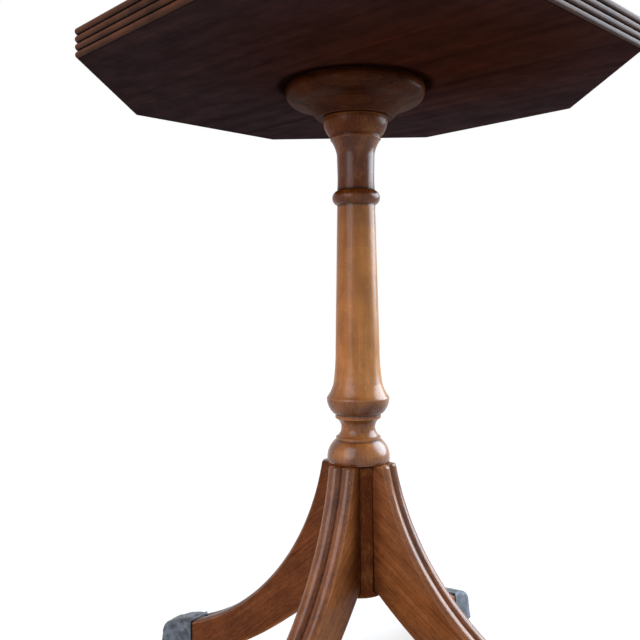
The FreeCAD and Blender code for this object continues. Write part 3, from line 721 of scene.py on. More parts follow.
LEG_WOOD = WoodFinish(
    "leg_mahogany", (0.105, 0.029, 0.0078), (0.275, 0.0905, 0.0268), (0.405, 0.15, 0.0495),
    fineness=1.7, streak=0.5, line=1.0, pore=1.0, ribbon=0.45, rough=0.4, coat=0.66, coat_rough=0.1,
    shine=0.02, dirt=0.9, chips=0.5, wear=0.45, worn=(0.5, 0.215, 0.075), rubbed=True)
DOWEL_WOOD = WoodFinish(
    "dowel_beech", (0.38, 0.24, 0.13), (0.55, 0.38, 0.22), (0.68, 0.5, 0.31),
    streak=0.5, rough=0.6, coat=0.0, board_turn=0.0)
CAP_METAL = MetalFinish(
    "tarnished_cap", (0.16, 0.182, 0.222), (0.058, 0.062, 0.082), (0.015, 0.0145, 0.018),
    (0.085, 0.13, 0.15), metal=0.6)
SCREW_METAL = MetalFinish(
    "screw_steel", (0.55, 0.55, 0.55), (0.38, 0.37, 0.36), (0.08, 0.06, 0.05), (0.4, 0.38, 0.35))


class Workshop:
    """Keeps the finishes' materials and puts them on pieces."""

    def __init__(self) -> None:
        """Makes the shared node groups."""
        self.groups = Groups()
        self.made: dict[str, bpy.types.Material] = {}

    def dress(self, piece: bpy.types.Object, finish: Finish) -> None:
        """Gives a piece its finish, in place of any that it has, and reports it.

        Args:
            piece: the object to dress.
            finish: its finish.
        """
        if finish.name not in self.made:
            self.made[finish.name] = finish.material(self.groups)
        piece.data.materials.clear()
        piece.data.materials.append(self.made[finish.name])
        LOG.info("%s: %d faces, %s", piece.name, len(piece.data.polygons), finish.name)

    def stand_for(self, piece: bpy.types.Object, node: str, finish: Finish) -> None:
        """Puts a new piece in the place of a packed one.

        Args:
            piece: the new object.
            node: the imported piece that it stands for.
            finish: its finish.
        """
        self.dress(piece, finish)
        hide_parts(node)


def patch(height: float, angle: float, around: float, along: float) -> float:
    """Reads a soft noise round a turned piece, with its size around the axis and along it."""
    return noise.noise(Vector((around * math.cos(angle), around * math.sin(angle), height / along)))


DIRT_REACH, DIRT_START, DIRT_DEPTH = 3.0, 0.5, 0.9
WEAR_REACH, WEAR_START, WEAR_DEPTH = 1.6, 0.2, 0.4


def turn_on_lathe(name: str, line: Sequence[Flat], segments: int,
                  stain: Callable[[float, float], float],
                  sheen: Callable[[float], float] | None = None,
                  upright: bool = True, shift: float = 0.0) -> bpy.types.Object:
    """Turns an outline about the table's axis.

    Args:
        name: the piece's name.
        line: the outline as radius and height, with the open air on its left.
        segments: how many steps the turning has.
        stain: tells how dark old polish and painted shade are at a height and an angle.
        sheen: tells how much polish is left at a height. Without it, all of it is left.
        upright: whether the grain stands up or lies along X.
        shift: how far to the side in the tree the piece was cut, in millimetres.

    Returns:
        The new object.
    """
    shell = Shell()
    hollows, edges = relief(line, DIRT_REACH), relief(line, WEAR_REACH)
    rows = []
    for (radius, height), hollow, edge in zip(line, hollows, edges):
        row = []
        for i in range(segments):
            angle = 2.0 * math.pi * i / segments
            point = Vector((radius * math.cos(angle), radius * math.sin(angle), height))
            wood = point.copy() if upright else Vector((point.y, point.z, point.x))
            wood.x += shift
            dirt, worn = (hollow - DIRT_START) / DIRT_DEPTH, (-edge - WEAR_START) / WEAR_DEPTH
            left = sheen(height) if sheen else 1.0
            row.append(shell.add(point, wood, dirt, worn, stain(height, angle), left))
        rows.append(row)
    shell.weave(rows, line[0] != line[-1])
    return shell.build(name)


@dataclass
class Top:
    """The board of the top, its reeded lippings and its boss, in millimetres."""

    height: float = 580.0
    across: float = 438.0
    thickness: float = 24.0
    lipping_width: float = 20.0
    lipping_step: float = 0.55
    lipping_soft: float = 0.25
    reeds: int = 4
    reed_relief: float = 2.2
    # painted shade on the lower, downward-facing half of each lipping reed
    reed_darkening: float = 0.9
    reed_shade_from: float = 0.5
    reed_shade_run: float = 0.4
    reed_reach: float = 1.5
    reed_face: float = 0.3
    reed_dirt_depth: float = 0.55
    reed_wear_depth: float = 0.5
    mitre_share: float = 0.992
    mitre_dirt: float = 0.6
    board_step: float = 61.0
    sides: int = 8
    boss_height: float = 28.0
    boss_top_radius: float = 60.5
    boss_rim_height: float = 16.1
    boss_rim_radius: float = 52.5
    boss_rim_bow: float = 0.266
    boss_foot_radius: float = 33.6
    boss_cove_bow: float = 0.08
    boss_bore: float = 14.15
    boss_step: float = 0.9
    boss_soft: float = 0.5
    boss_segments: int = 160
    boss_shift: float = 300.0
    # painted shade on the boss, darkest against the underside of the top, and how far down it runs
    boss_top_shade: float = 0.9
    boss_top_shade_run: float = 5.0
    boss_patches: Flat = (2.2, 9.0)
    boss_patch_stain: float = 0.35
    stations: int = 40

    @property
    def under(self) -> float:
        """The level of the underside."""
        return self.height - self.thickness

    def lipping_section(self) -> list[Flat]:
        """Draws a lipping's section, from its upper inner corner round the reeds.

        Returns:
            The points as distance from the axis and height.
        """
        inner = self.across / 2.0 - self.lipping_width
        root = self.across / 2.0 - self.reed_relief
        pitch = self.thickness / self.reeds
        corners = [Turn(inner, self.height), Turn(root, self.height)]
        for reed in range(1, self.reeds + 1):
            corners.append(Turn(root, self.height - reed * pitch, self.reed_relief / pitch))
        corners.append(Turn(inner, self.under))
        return soften(trace(corners, self.lipping_step), self.lipping_soft)

    def build_lipping(self, number: int) -> bpy.types.Object:
        """Builds one lipping, mitred at both ends.

        Args:
            number: its number round the top, from 1.

        Returns:
            The new object.
        """
        shell = Shell()
        slope = math.tan(math.pi / self.sides)
        root = self.across / 2.0 - self.reed_relief
        pitch = self.thickness / self.reeds
        line = self.lipping_section()
        hollows = relief(line, self.reed_reach)
        rows = []
        for station in range(self.stations + 1):
            share = 2.0 * station / self.stations - 1.0
            near = clamp((abs(share) - self.mitre_share) / (1.0 - self.mitre_share))
            row = []
            for (out, level), hollow in zip(line, hollows):
                point = Vector((share * out * slope, out, level))
                wood = Vector((out + self.board_step * number, level, point.x))
                # Painted shade on the lower half of each reed's face.
                below = (self.height - level) / pitch % 1.0
                shade = clamp((below - self.reed_shade_from) / self.reed_shade_run)
                stain = self.reed_darkening * shade if out > root - self.reed_face else 0.0
                dirt = hollow / self.reed_dirt_depth + self.mitre_dirt * near
                worn = -hollow / self.reed_wear_depth
                row.append(shell.add(point, wood, dirt, worn, stain))
            rows.append(row)
        shell.weave(rows)
        turn = (number - 1) * 360.0 / self.sides
        return shell.build(f"reeded_lipping_{number}", turn, sharp=55.0)

    def build_boss(self) -> bpy.types.Object:
        """Builds the turned boss under the top.

        Returns:
            The new object.
        """
        low = self.under - self.boss_height
        corners = [
            Turn(self.boss_bore, self.under),
            Turn(self.boss_top_radius, self.under),
            Turn(self.boss_rim_radius, self.under - self.boss_rim_height, self.boss_rim_bow),
            Turn(self.boss_foot_radius, low, -self.boss_cove_bow),
            Turn(self.boss_bore, low),
            Turn(self.boss_bore, self.under),
        ]
        line = soften(trace(corners, self.boss_step), self.boss_soft)
        return turn_on_lathe("turned_boss", line, self.boss_segments, self.boss_polish_and_shade,
                             upright=False, shift=self.boss_shift)

    def boss_polish_and_shade(self, height: float, angle: float) -> float:
        """Tells how dark the boss is: painted shade against the top, and old polish in patches."""
        shade = self.boss_top_shade * clamp(1.0 - (self.under - height) / self.boss_top_shade_run)
        return shade + self.boss_patch_stain * max(patch(height, angle, *self.boss_patches), 0.0)

    def make(self, shop: Workshop) -> None:
        """Builds and dresses the top.

        Args:
            shop: the keeper of the finishes.
        """
        shop.dress(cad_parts["top_panel"], TOP_WOOD)
        for number in range(1, self.sides + 1):
            lipping = self.build_lipping(number)
            shop.stand_for(lipping, f"edge_lipping_{number}", EDGE_WOOD)
        shop.stand_for(self.build_boss(), "top_boss", BOSS_WOOD)
        shop.dress(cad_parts["boss_screws"], SCREW_METAL)


@dataclass
class Column:
    """The pedestal column, turned in one, as radii and levels in millimetres."""

    spigot_radius: float = 14.0
    spigot_top: float = 554.0
    end_radius: float = 0.5
    boss_low: float = 528.0
    profile: tuple[Turn, ...] = (
        Turn(28.4, 528.0), Turn(23.0, 512.1, 0.108),  # collar
        Turn(22.4, 512.1), Turn(22.4, 508.9),  # its fillet
        Turn(22.0, 508.9), Turn(16.7, 495.6, -0.06),  # cavetto
        Turn(16.3, 478.0), Turn(16.75, 464.3, -0.012),  # neck
        Turn(17.6, 451.7, 0.32),  # bead
        Turn(16.85, 451.7), Turn(19.85, 316.0), Turn(22.1, 292.6, -0.014),  # shaft
        Turn(27.1, 281.7, -0.044),  # flare
        Turn(28.15, 279.7, 0.107), Turn(22.5, 266.5, 0.09),  # bulb
        Turn(20.55, 266.5), Turn(20.55, 261.9),  # its fillet
        Turn(20.1, 261.9), Turn(19.7, 245.4, -0.285),  # waist
        Turn(20.0, 245.4), Turn(20.0, 242.7),  # base fillet
        Turn(20.55, 242.7), Turn(28.1, 227.0, 0.11), Turn(27.3, 223.0, 0.09),  # torus
    )
    torus_top: float = 243.0
    collar_foot: float = 509.5
    bead_top: float = 464.3
    flare_top: float = 300.0
    core_radius: float = 23.7
    core_low: float = 106.5
    core_round: float = 2.0
    leg_head: float = 223.0
    core_sheen: float = 0.09
    torus_sheen: float = 1.0
    flare_sheen: float = 0.8
    shaft_sheen: float = 0.58
    foot_sheen: float = 0.3
    foot_run: float = 50.0
    collar_sheen: float = 0.23
    # Darkening by height: painted shade under the top on the collar, neck and bead, on the
    # undersides of the bulb and torus, in their fillets and on the core between the legs; old
    # polish elsewhere.
    polish_and_shade_bands: tuple[Flat, ...] = (
        (528.0, 1.0), (497.0, 0.95), (480.0, 0.93), (466.0, 1.0), (464.0, 1.0), (453.0, 0.9),
        (451.5, 0.35), (410.0, 0.05), (300.0, 0.0), (284.0, 0.25), (279.0, 0.6), (267.8, 0.85),
        (266.5, 1.0), (265.2, 0.6), (246.4, 0.5), (245.4, 0.85), (244.6, 0.4), (243.6, 0.5),
        (242.7, 1.0), (241.6, 0.55), (232.0, 0.45), (226.0, 0.8), (223.5, 0.95), (222.5, 1.0),
    )
    patches: Flat = (1.8, 14.0)
    patch_stain: float = 0.45
    step: float = 1.0
    soft: float = 0.4
    segments: int = 160

    def outline(self) -> list[Turn]:
        """Draws the outline from the spigot down to the core's foot.

        Returns:
            The corners of the outline as radius and height.
        """
        spigot = [
            Turn(self.end_radius, self.spigot_top),
            Turn(self.spigot_radius, self.spigot_top),
            Turn(self.spigot_radius, self.boss_low),
        ]
        core = [
            Turn(self.core_radius, self.leg_head),
            Turn(self.core_radius, self.core_low + self.core_round),
            Turn(self.core_radius - self.core_round, self.core_low, QUARTER),
            Turn(self.end_radius, self.core_low),
        ]
        return [*spigot, *self.profile, *core]

    def polish_and_shade_at(self, height: float, angle: float) -> float:
        """Tells how dark old polish and painted shade are on the column.

        Args:
            height: the height in millimetres.
            angle: the angle about the axis.

        Returns:
            The share of darkening, 0 to 1.
        """
        bands = self.polish_and_shade_bands
        level = bands[0][1] if height > bands[0][0] else bands[-1][1]
        for (high, first), (low, last) in zip(bands, bands[1:]):
            if low <= height <= high:
                level = first + (last - first) * (high - height) / (high - low)
        return level * (1.0 + self.patch_stain * patch(height, angle, *self.patches))

    def sheen_at(self, height: float) -> float:
        """Tells how much polish is left: all of it on the torus, least on the core.

        Args:
            height: the height in millimetres.

        Returns:
            The share of polish, 0 to 1.
        """
        if height < self.leg_head:
            return self.core_sheen
        if height < self.torus_top:
            return self.torus_sheen
        if height > self.collar_foot:
            return self.collar_sheen
        if height > self.bead_top:
            return min(self.foot_sheen + (height - self.bead_top) / self.foot_run, self.shaft_sheen)
        return self.flare_sheen if height < self.flare_top else self.shaft_sheen

    def make(self, shop: Workshop) -> None:
        """Builds and dresses the column.

        Args:
            shop: the keeper of the finishes.
        """
        line = soften(trace(self.outline(), self.step), self.soft)
        column = turn_on_lathe("turned_column", line, self.segments, self.polish_and_shade_at, self.sheen_at)
        shop.stand_for(column, "pedestal_column", COLUMN_WOOD)


@dataclass
class Leg:
    """One sabre leg with its toe cap, in millimetres, drawn along +X and turned into place."""

    number: int
    polish: float = 0.0
    # painted shade on the flanks where they meet the column: how far it runs and how dark it gets
    corner_shade_run: float = 9.0
    corner_shade_most: float = 0.55
    first_turn: float = 58.6
    legs: int = 4
    thickness: float = 25.5
    core_radius: float = 23.8
    head: float = 223.0
    head_reach: float = 33.0
    head_round: float = 3.0
    crest_radius: float = 237.5
    reed_relief: float = 3.0
    reed_start: float = 0.45
    reed_run: float = 6.0
    root: float = 112.0
    core_share: float = 0.36
    under_bow: float = 0.06
    reach: float = 237.5
    toe_crest: float = 41.0
    heel: float = 4.5
    arris: float = 0.9
    arris_share: float = 0.3
    head_step: float = 0.6
    crest_step: float = 2.5
    under_step: float = 1.5
    cap_step: float = 1.2
    grain_slope: float = 38.0
    flank_sheen: float = 0.2
    under_sheen: float = 0.2
    under_stain: float = 0.3
    under_dirt: float = 0.1
    reed_darkening: float = 0.3
    # painted shade on each reed towards the groove between them
    groove_shade: float = 0.35
    groove_share: float = 0.55
    groove_dirt: float = 0.62
    rim_share: float = 0.86
    reed_wear: float = 0.7
    # half width of a lighter line along each reed's crown, partly wear and partly a painted
    # highlight
    crown_highlight_half: float = 1.5
    joint_width: float = 1.5
    seam_width: float = 2.5
    flank_shares: tuple[float, ...] = (0.03, 0.2, 0.45, 0.7, 0.9)
    under_shares: tuple[float, ...] = (0.75, 0.4, 0.0, -0.4, -0.75)
    board_step: Flat = (173.0, 41.0)
    cap_length: float = 45.8
    cap_proud: float = 0.6
    cap_rise: float = 1.4
    cap_tongue: float = 9.1
    cap_tip: float = 2.5
    cap_lean: float = 4.0
    cap_end: float = 23.0
    cap_shoulder_run: float = 17.0
    cap_shoulder: float = 34.4
    cap_shoulder_bow: float = 0.15
    cap_top_bow: float = 0.05
    cap_round: float = 5.5
    dent: float = 0.9
    dent_broad: float = 0.9
    dent_limit: float = 0.15
    dent_small: float = 0.35
    dent_set: float = 0.25
    dent_step: Flat = (97.0, 31.0)
    broad_dent: float = 11.0
    small_dent: float = 4.2
    dent_middle: Flat = (18.0, 14.0)
    dent_foot: float = 4.0
    round_steps: int = 6
    wall_steps: int = 8
    tongue_steps: int = 12
    tongue_lap: float = 1.0
    cap_shares: tuple[float, ...] = (0.6, 0.2, -0.2, -0.6)
    sole_shares: Flat = (-0.4, 0.4)
    sole_inset: float = 3.0
    cap_seam: float = 1.2
    cap_wear: float = 0.5
    cap_wear_in: float = 1.0
    cap_wear_half: float = 0.8
    tongue_wear: float = 0.6
    tongue_worn_from: float = 0.9
    tongue_taper: float = 1.25
    tongue_swell: float = 0.5
    tongue_swell_run: float = 1.15
    tongue_round: float = 0.5
    tongue_nose: float = 0.9
    tongue_gap: float = 0.02
    tongue_hollow: float = 0.3
    tongue_tops: tuple[float, ...] = (-1.0, -0.9, -0.6, -0.3, 0.0, 0.3, 0.6, 0.9, 1.0)
    tongue_soles: tuple[float, ...] = (1.0, 0.5, 0.0, -0.5, -1.0)

    @property
    def turn(self) -> float:
        """The leg's angle round the table, in degrees."""
        return self.first_turn + (self.number - 1) * 360.0 / self.legs

    @property
    def mouth(self) -> float:
        """How far out the toe cap starts."""
        return self.reach - self.cap_length

    @property
    def half(self) -> float:
        """Half of the leg's thickness."""
        return self.thickness / 2.0

    def crest_centre(self) -> Flat:
        """Finds the centre of the crest's arc.

        Returns:
            The centre as distance out and height.
        """
        run, drop = self.mouth - self.head_reach, self.head - self.toe_crest
        chord = math.hypot(run, drop)
        rise = math.sqrt(self.crest_radius ** 2 - chord ** 2 / 4.0)
        return ((self.head_reach + self.mouth) / 2.0 + rise * drop / chord,
                (self.head + self.toe_crest) / 2.0 + rise * run / chord)

    def crest_height(self, out: float) -> float:
        """The crest's height at a distance out."""
        x, z = self.crest_centre()
        return z - math.sqrt(self.crest_radius ** 2 - (x - out) ** 2)

    def trace_crest(self) -> list[Flat]:
        """Follows the outer edge from the top of the head to the toe cap.

        Returns:
            The points as distance out and height.
        """
        x, z = self.crest_centre()
        low = self.head - self.head_round
        start = x - math.sqrt(self.crest_radius ** 2 - (z - low) ** 2)
        chord = math.hypot(self.mouth - start, low - self.toe_crest)
        bow = (self.crest_radius - math.sqrt(self.crest_radius ** 2 - chord ** 2 / 4.0)) / chord
        top = Turn(self.head_reach - self.head_round, self.head)
        head = trace([top, Turn(start, low, QUARTER)], self.head_step)
        sweep = trace([Turn(start, low), Turn(self.mouth, self.toe_crest, -bow)], self.crest_step)
        return head + sweep[1:]

    def inner_point(self, share: float, side: float) -> Flat:
        """Finds the point of the inner edge that faces a point of the crest.

        Args:
            share: how far down the leg the point is, 0 to 1.
            side: its distance from the leg's middle plane.

        Returns:
            The point as distance out and height.
        """
        at_core = math.sqrt(self.core_radius ** 2 - side ** 2)
        if share <= self.core_share:
            return at_core, self.head + (self.root - self.head) * share / self.core_share
        heel = Turn(self.mouth, self.heel, -self.under_bow)
        line = trace([Turn(self.core_radius, self.root), heel], self.under_step)
        place = (share - self.core_share) / (1.0 - self.core_share) * (len(line) - 1)
        low = min(int(place), len(line) - 2)
        return tuple(Vector(line[low]).lerp(Vector(line[low + 1]), place - low))

    def wood(self, point: Vector) -> Vector:
        """Finds a point's place in the board that the leg was sawn from.

        Args:
            point: its place on the leg.

        Returns:
            Its place in the wood, with Z along the grain.
        """
        slope = math.radians(self.grain_slope)
        along = point.x * math.cos(slope) - point.z * math.sin(slope)
        across = point.x * math.sin(slope) + point.z * math.cos(slope)
        step, lift = self.board_step
        return Vector((across + step * self.number, point.y + lift * self.number, along))

    def reed_points(self, count: int = 14) -> list[Flat]:
        """Draws the two reeds across the leg.

        Args:
            count: how many steps each reed has.

        Returns:
            Places across the leg and their depths below the crest.
        """
        width = self.half
        radius = (width ** 2 / 4.0 + self.reed_relief ** 2) / (2.0 * self.reed_relief)
        points = []
        for reed in (-1, 1):
            middle = reed * width / 2.0
            for i in range(count + 1):
                off = width * (i / count - 0.5)
                points.append((middle + off, radius - math.sqrt(radius ** 2 - off ** 2)))
        return points

    def build_leg(self) -> bpy.types.Object:
        """Builds the leg.

        Returns:
            The new object.
        """
        shell = Shell()
        path = self.trace_crest()
        places = measure(path)
        reeds = self.reed_points()
        rows = []
        for i, here in enumerate(path):
            out = outward(path, i - 1, i + 1)
            share = places[i] / places[-1]
            depth_share = clamp(self.reed_start + places[i] / self.reed_run)
            seam = clamp(1.0 - (places[-1] - places[i]) / self.seam_width)
            rows.append(self.leg_row(shell, Vector(here), out, share, depth_share, reeds, seam))
        shell.weave(rows)
        return shell.build(f"sabre_leg_{self.number}", self.turn, sharp=50.0)

    def leg_row(self, shell: Shell, here: Vector, out: Vector, share: float, depth_share: float,
                reeds: Sequence[Flat], seam: float) -> list[int]:
        """Adds one ring of points round the leg.

        Args:
            shell: the piece in the making.
            here: the point of the crest, as distance out and height.
            out: the way out of the crest there.
            share: how far down the leg the ring is.
            depth_share: how much of the reeds' relief there is.
            reeds: the reeds' places and depths.
            seam: how near the ring is to the toe cap's edge.

        Returns:
            The numbers of the ring's points.
        """
        row = []

        def put(y: float, spot: Vector, hollow: float, edge: float, stain: float,
                sheen: float) -> None:
            """Adds one point to the ring."""
            point = Vector((spot.x, y, spot.y))
            row.append(shell.add(point, self.wood(point), max(hollow, seam), edge, stain, sheen))

        for side, depth in reeds:
            away = abs(side)
            valley = self.groove_dirt * clamp(1.0 - away / self.joint_width)
            rim = clamp((away / self.half - self.rim_share) / (1.0 - self.rim_share))
            # dusk paints shade on each reed towards the groove.
            dusk = clamp(1.0 - away / (self.groove_share * self.half))
            # A lighter line along each reed's crown: wear and a painted highlight.
            crown_wear_and_highlight = math.exp(-((away - self.half / 2.0) / self.crown_highlight_half) ** 2)
            stain = self.polish + self.reed_darkening * (1.0 - rim) + self.groove_shade * dusk
            worn = self.reed_wear * max(rim, crown_wear_and_highlight)
            put(side, here - out * depth * depth_share, valley, worn, stain, 1.0)
        base = here - out * self.reed_relief * depth_share
        inner = Vector(self.inner_point(share, self.half))
        at_core = share < self.core_share
        flank = []
        # The flanks darken with painted shade towards the column.
        for part in self.flank_shares:
            spot = base.lerp(inner, part)
            joint = clamp(1.0 - (spot - inner).length / self.joint_width) if at_core else 0.0
            flank.append((self.half, spot, joint, 0.0, self.corner(spot.x)))
        back = (base - inner).normalized() * self.arris
        dirt, worn = (1.0, 0.0) if at_core else (self.under_dirt, self.reed_wear)
        for inset, run in ((0.0, 1.0), (self.arris_share * self.arris, self.arris_share)):
            flank.append((self.half - inset, inner + back * run, dirt, worn, 0.0))
        for y, spot, hollow, edge, stain in flank:
            put(y, spot, hollow, edge, stain, self.flank_sheen)
        for part in self.under_shares:
            side = part * self.half
            spot = Vector(self.inner_point(share, side))
            put(side, spot, self.under_dirt, 0.0, self.under_stain, self.under_sheen)
        for y, spot, hollow, edge, stain in reversed(flank):
            put(-y, spot, hollow, edge, stain, self.flank_sheen)
        return row

    def corner(self, out: float) -> float:
        """Tells how dark a flank is: old polish, and painted shade most where it meets the column.
        """
        near = clamp(1.0 - (out - self.core_radius) / self.corner_shade_run)
        return max(self.polish, self.corner_shade_most * near)

    def cap_path(self) -> list[Flat]:
        """Follows the toe cap's top and end, from its mouth down to the floor.

        Returns:
            The points as distance out and height.
        """
        return trace([
            Turn(self.mouth, self.toe_crest + self.cap_rise),
            Turn(self.reach - self.cap_shoulder_run, self.cap_shoulder, self.cap_top_bow),
            Turn(self.reach - self.cap_lean, self.cap_end, self.cap_shoulder_bow),
            Turn(self.reach, 0.0),
        ], self.cap_step)

    def beaten(self, point: Vector) -> Vector:
        """Moves a point of the toe cap in by the dents of long use.

        Args:
            point: its place on the new cap.

        Returns:
            Its place on the dented one.
        """
        local = point + Vector((*self.dent_step, 0.0)) * self.number
        broad = noise.noise(local / self.broad_dent)
        small = noise.noise(local / self.small_dent)
        swell = self.dent_broad * min(broad, self.dent_limit) + self.dent_small * small
        depth = self.dent * (swell - self.dent_set)
        lift = clamp(point.z / self.dent_foot)
        middle = Vector((self.mouth + self.dent_middle[0], 0.0, self.dent_middle[1]))
        return point + (point - middle).normalized() * depth * lift

    def build_cap(self) -> bpy.types.Object:
        """Builds the toe cap: a rounded cup and the pointed tongue on the leg's crest.

        Returns:
            The new object.
        """
        shell = Shell()
        wide = self.half + self.cap_proud
        path = self.cap_path()
        radius = self.cap_round
        flat = wide - radius
        turns = [math.pi / 2.0 * i / self.round_steps for i in range(self.round_steps + 1)]
        arc = [(flat + radius * math.cos(a), radius * (1.0 - math.sin(a))) for a in turns]
        across = arc + [(part * flat, 0.0) for part in self.cap_shares]
        across += [(-side, depth) for side, depth in reversed(arc)]
        rows = []
        for i, here in enumerate(path):
            out = outward(path, i - 1, i + 1)
            foot = Vector((min(here[0], self.reach - self.sole_inset), 0.0))
            low = Vector(here) - out * radius
            wall = [foot.lerp(low, step / self.wall_steps) for step in range(self.wall_steps)]
            row = [(spot, wide) for spot in wall]
            row += [(Vector(here) - out * depth, side) for side, depth in across]
            row += [(spot, -wide) for spot in reversed(wall)]
            row += [(foot, part * wide) for part in self.sole_shares]
            numbers = []
            for spot, side in row:
                point = self.beaten(Vector((spot.x, side, max(spot.y, 0.0))))
                rim = clamp(1.0 - (spot.x - self.mouth) / self.cap_seam)
                off = abs(abs(side) - wide + self.cap_wear_in)
                worn = self.cap_wear if off < self.cap_wear_half else 0.0
                numbers.append(shell.add(point, point, rim, worn))
            rows.append(numbers)
        shell.weave(rows)
        self.add_tongue(shell)
        return shell.build(f"cast_toe_cap_{self.number}", self.turn, sharp=60.0)

    def add_tongue(self, shell: Shell) -> None:
        """Adds the pointed tongue that lies along the crest.

        Args:
            shell: the toe cap in the making.
        """
        rows = []
        for i in range(self.tongue_steps + 1):
            share = i / self.tongue_steps
            out = self.mouth + self.tongue_lap - (self.cap_tongue + self.tongue_lap) * share
            half = self.cap_tip + (self.half - self.cap_tip) * (1.0 - share ** self.tongue_taper)
            level = self.crest_height(out)
            swell = self.tongue_swell * math.sin(math.pi * min(1.0, self.tongue_swell_run * share))
            row = []
            for side in self.tongue_tops:
                drop = self.tongue_round * abs(side) ** 3 + self.tongue_nose * share ** 6 - swell
                row.append(Vector((out, side * half, level + self.cap_rise - drop)))
            for side in self.tongue_soles:
                lift = self.tongue_gap - self.tongue_hollow * abs(side)
                row.append(Vector((out, side * half, level + lift)))
            arrises = (0, len(self.tongue_tops) - 1)
            numbers = []
            for k, point in enumerate(row):
                rubbed = k in arrises or share > self.tongue_worn_from
                worn = self.tongue_wear if rubbed else 0.0
                numbers.append(shell.add(self.beaten(point), point, 0.0, worn))
            rows.append(numbers)
        shell.weave(rows)

    def make(self, shop: Workshop) -> None:
        """Builds and dresses the leg and its toe cap."""
        shop.stand_for(self.build_leg(), f"leg_{self.number}", LEG_WOOD)
        shop.stand_for(self.build_cap(), f"toe_cap_{self.number}", CAP_METAL)


@dataclass(frozen=True)
class Lamp:
    """One soft oval lamp that faces the table's middle, in metres, watts and degrees from +X."""

    name: str
    bearing: float
    away: float
    height: float
    size: Flat
    power: float
    colour: Colour
    mirrored: bool = True
    aim: float = 0.3

    def hang(self) -> None:
        """Hangs the lamp in its place."""
        data = bpy.data.lights.new(self.name, "AREA")
        data.shape = "ELLIPSE"
        data.size, data.size_y = self.size
        data.energy = self.power
        data.color = self.colour
        lamp = bpy.data.objects.new(self.name, data)
        angle = math.radians(self.bearing)
        lamp.location = (self.away * math.cos(angle), self.away * math.sin(angle), self.height)
        ahead = Vector((0.0, 0.0, self.aim)) - lamp.location
        lamp.rotation_euler = ahead.to_track_quat("-Z", "Y").to_euler()
        lamp.visible_glossy = self.mirrored
        bpy.context.collection.objects.link(lamp)


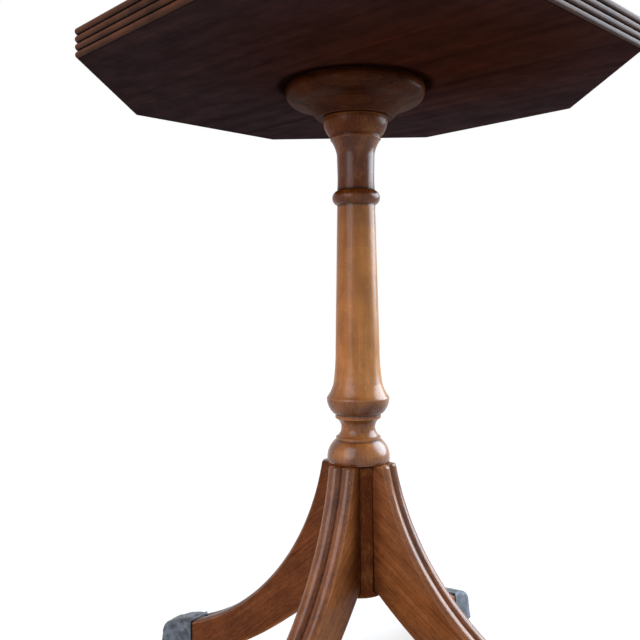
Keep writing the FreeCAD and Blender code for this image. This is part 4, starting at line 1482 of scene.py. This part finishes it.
@dataclass
class Studio:
    """The camera, the lamps, the pale floor and the white surroundings, in metres and degrees."""

    lens: float = 43.16
    sensor: float = 36.0
    near: float = 0.01
    stand: Place = (-0.0224, -0.6859, 0.367)
    heading: float = 90.91
    pitch: float = -1.45
    roll: float = 0.63
    lamps: tuple[Lamp, ...] = (
        Lamp("window", 20.0, 1.7, 1.1, (1.8, 1.7), 84.0, (0.75, 0.88, 1.0)),
        Lamp("side_window", -131.0, 1.9, 1.35, (1.6, 2.5), 33.0, (0.95, 0.93, 1.0)),
        Lamp("far_lamp", 184.0, 1.7, 0.7, (0.9, 0.9), 5.0, (1.0, 0.66, 0.34), False),
    )
    sky_light: float = 0.24
    sky_shown: float = 0.6
    floor_half: float = 6.0
    floor_tone: Colour = (0.25, 0.245, 0.24)
    sheet_tone: Colour = (0.02, 0.02, 0.02)
    sheet_rough: float = 0.9
    floor_ramp: tuple[float, float, float, float] = (0.6, 2.6, 0.76, 1.0)
    sweep_radius: float = 5.0
    sweep_height: float = 5.0
    sweep_spread: float = 72.0
    sweep_foot: float = -0.01
    sweep_steps: int = 48
    surround_height: float = 2.6

    def set_camera(self) -> None:
        """Stands the camera where the photograph was taken from."""
        turn, tilt, lean = (math.radians(angle) for angle in (self.heading, self.pitch, self.roll))
        flat = Vector((math.cos(turn), math.sin(turn), 0.0))
        ahead = flat * math.cos(tilt) + Vector((0.0, 0.0, math.sin(tilt)))
        level = Vector((math.sin(turn), -math.cos(turn), 0.0))
        down = ahead.cross(level)
        right = level * math.cos(lean) + down * math.sin(lean)
        up = level * math.sin(lean) - down * math.cos(lean)
        data = bpy.data.cameras.new("view")
        data.lens = self.lens
        data.sensor_width = self.sensor
        data.clip_start = self.near
        camera = bpy.data.objects.new("view", data)
        place = Matrix((right, up, -ahead)).transposed().to_4x4()
        place.translation = Vector(self.stand)
        camera.matrix_world = place
        bpy.context.collection.objects.link(camera)
        bpy.context.scene.camera = camera

    def seen(self, nodes: Nodes) -> Socket:
        """Tells the rays that show the surroundings from those that only light the table.

        Args:
            nodes: the tree to work in.

        Returns:
            The socket that is 1 for a ray that shows them.
        """
        path = nodes.add("LightPath")
        shown = nodes.sum("ADD", path.outputs["Is Camera Ray"], path.outputs["Is Glossy Ray"], True)
        return nodes.sum("ADD", shown, path.outputs["Is Transmission Ray"], True)

    def set_world(self) -> None:
        """Makes the surroundings a pale grey to look at and soft as a light."""
        world = bpy.data.worlds.new("surroundings")
        world.use_nodes = True
        bpy.context.scene.world = world
        nodes = Nodes(world.node_tree)
        strength = nodes.between(self.seen(nodes), self.sky_light, self.sky_shown)
        ground = world.node_tree.nodes["Background"]
        nodes.feed(ground, Color=WHITE, Strength=strength)

    def add_sheet(self, name: str, points: Sequence[Place], faces: Sequence[Sequence[int]],
                  plain: Colour) -> tuple[bpy.types.Object, Nodes]:
        """Adds a sheet of the stage with a dull material.

        Args:
            name: the sheet's name.
            points: its points in metres.
            faces: its faces.
            plain: its colour.

        Returns:
            The new object and a hand on its material's tree.
        """
        mesh = bpy.data.meshes.new(name)
        mesh.from_pydata(points, [], faces)
        sheet = bpy.data.objects.new(name, mesh)
        bpy.context.collection.objects.link(sheet)
        made, nodes, shader = new_material(f"pale_{name}")
        nodes.feed(shader, Base_Color=(*plain, 1.0), Roughness=self.sheet_rough)
        mesh.materials.append(made)
        return sheet, nodes

    def show(self, nodes: Nodes, glow: object, add: bool) -> None:
        """Shows a white glow to the rays that show the surroundings, and the material to the rest.

        Args:
            nodes: a hand on the sheet's tree.
            glow: how strong the glow is, as a socket or a number.
            add: whether the dull material and its shadows show through the glow.
        """
        dull = nodes.tree.nodes["Principled BSDF"].outputs[0]
        light = nodes.feed(nodes.add("Emission"), Color=WHITE, Strength=glow)
        shown = light.outputs[0]
        if add:
            shown = nodes.feed(nodes.add("AddShader"), i0=dull, i1=shown).outputs[0]
        pick = nodes.feed(nodes.add("MixShader"), i0=self.seen(nodes), i1=dull, i2=shown)
        nodes.feed(nodes.tree.nodes["Material Output"], Surface=pick.outputs[0])

    def add_floor(self) -> None:
        """Lays a pale floor that shows the table's shadow and throws little light back up."""
        wide = self.floor_half
        corners = [(-wide, -wide, 0.0), (wide, -wide, 0.0), (wide, wide, 0.0), (-wide, wide, 0.0)]
        _, nodes = self.add_sheet("floor", corners, [(0, 1, 2, 3)], self.floor_tone)
        away = nodes.distance(nodes.add("TexCoord").outputs["Object"])
        self.show(nodes, nodes.ramp(away, *self.floor_ramp), True)

    def add_backdrop(self, name: str, middle: float, spread: float, height: float,
                     solid: bool) -> None:
        """Stands a curved white sheet round the table, which shows white and lights nothing.

        Args:
            name: the sheet's name.
            middle: the direction of its middle from the table, in degrees from +X.
            spread: how far it runs to each side of that, in degrees.
            height: its height in metres.
            solid: whether it keeps the surroundings' light off the table.
        """
        points, faces, steps = [], [], self.sweep_steps
        for i in range(steps + 1):
            angle = math.radians(middle + spread * (2.0 * i / steps - 1.0))
            x, y = self.sweep_radius * math.cos(angle), self.sweep_radius * math.sin(angle)
            points += [(x, y, self.sweep_foot), (x, y, height)]
            if i:
                faces.append((2 * i - 2, 2 * i, 2 * i + 1, 2 * i - 1))
        sweep, nodes = self.add_sheet(name, points, faces, self.sheet_tone)
        sweep.visible_diffuse = sweep.visible_shadow = solid
        self.show(nodes, 1.0, False)

    def make(self) -> None:
        """Sets up the whole studio."""
        bpy.context.scene.view_settings.view_transform = "Standard"
        self.set_camera()
        self.set_world()
        self.add_floor()
        ahead, spread = self.heading, self.sweep_spread
        self.add_backdrop("backdrop", ahead, spread, self.sweep_height, True)
        self.add_backdrop("surround", ahead + 180.0, 180.0 - spread, self.surround_height, False)
        for lamp in self.lamps:
            lamp.hang()


def main() -> None:
    """Builds the table piece by piece and sets up the studio round it."""
    logging.basicConfig(level=logging.INFO, format="%(message)s")
    shop = Workshop()
    Top().make(shop)
    Column().make(shop)
    # Leg 3's flank gets a longer, darker painted shade beside the column.
    for leg in (Leg(1, 0.35), Leg(2, 0.55), Leg(3, corner_shade_run=17.0, corner_shade_most=0.7), Leg(4)):
        leg.make(shop)
    shop.dress(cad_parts["leg_dowels"], DOWEL_WOOD)
    shop.dress(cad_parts["toe_cap_screws"], SCREW_METAL)
    Studio().make()


if __name__ == "__main__":
    main()
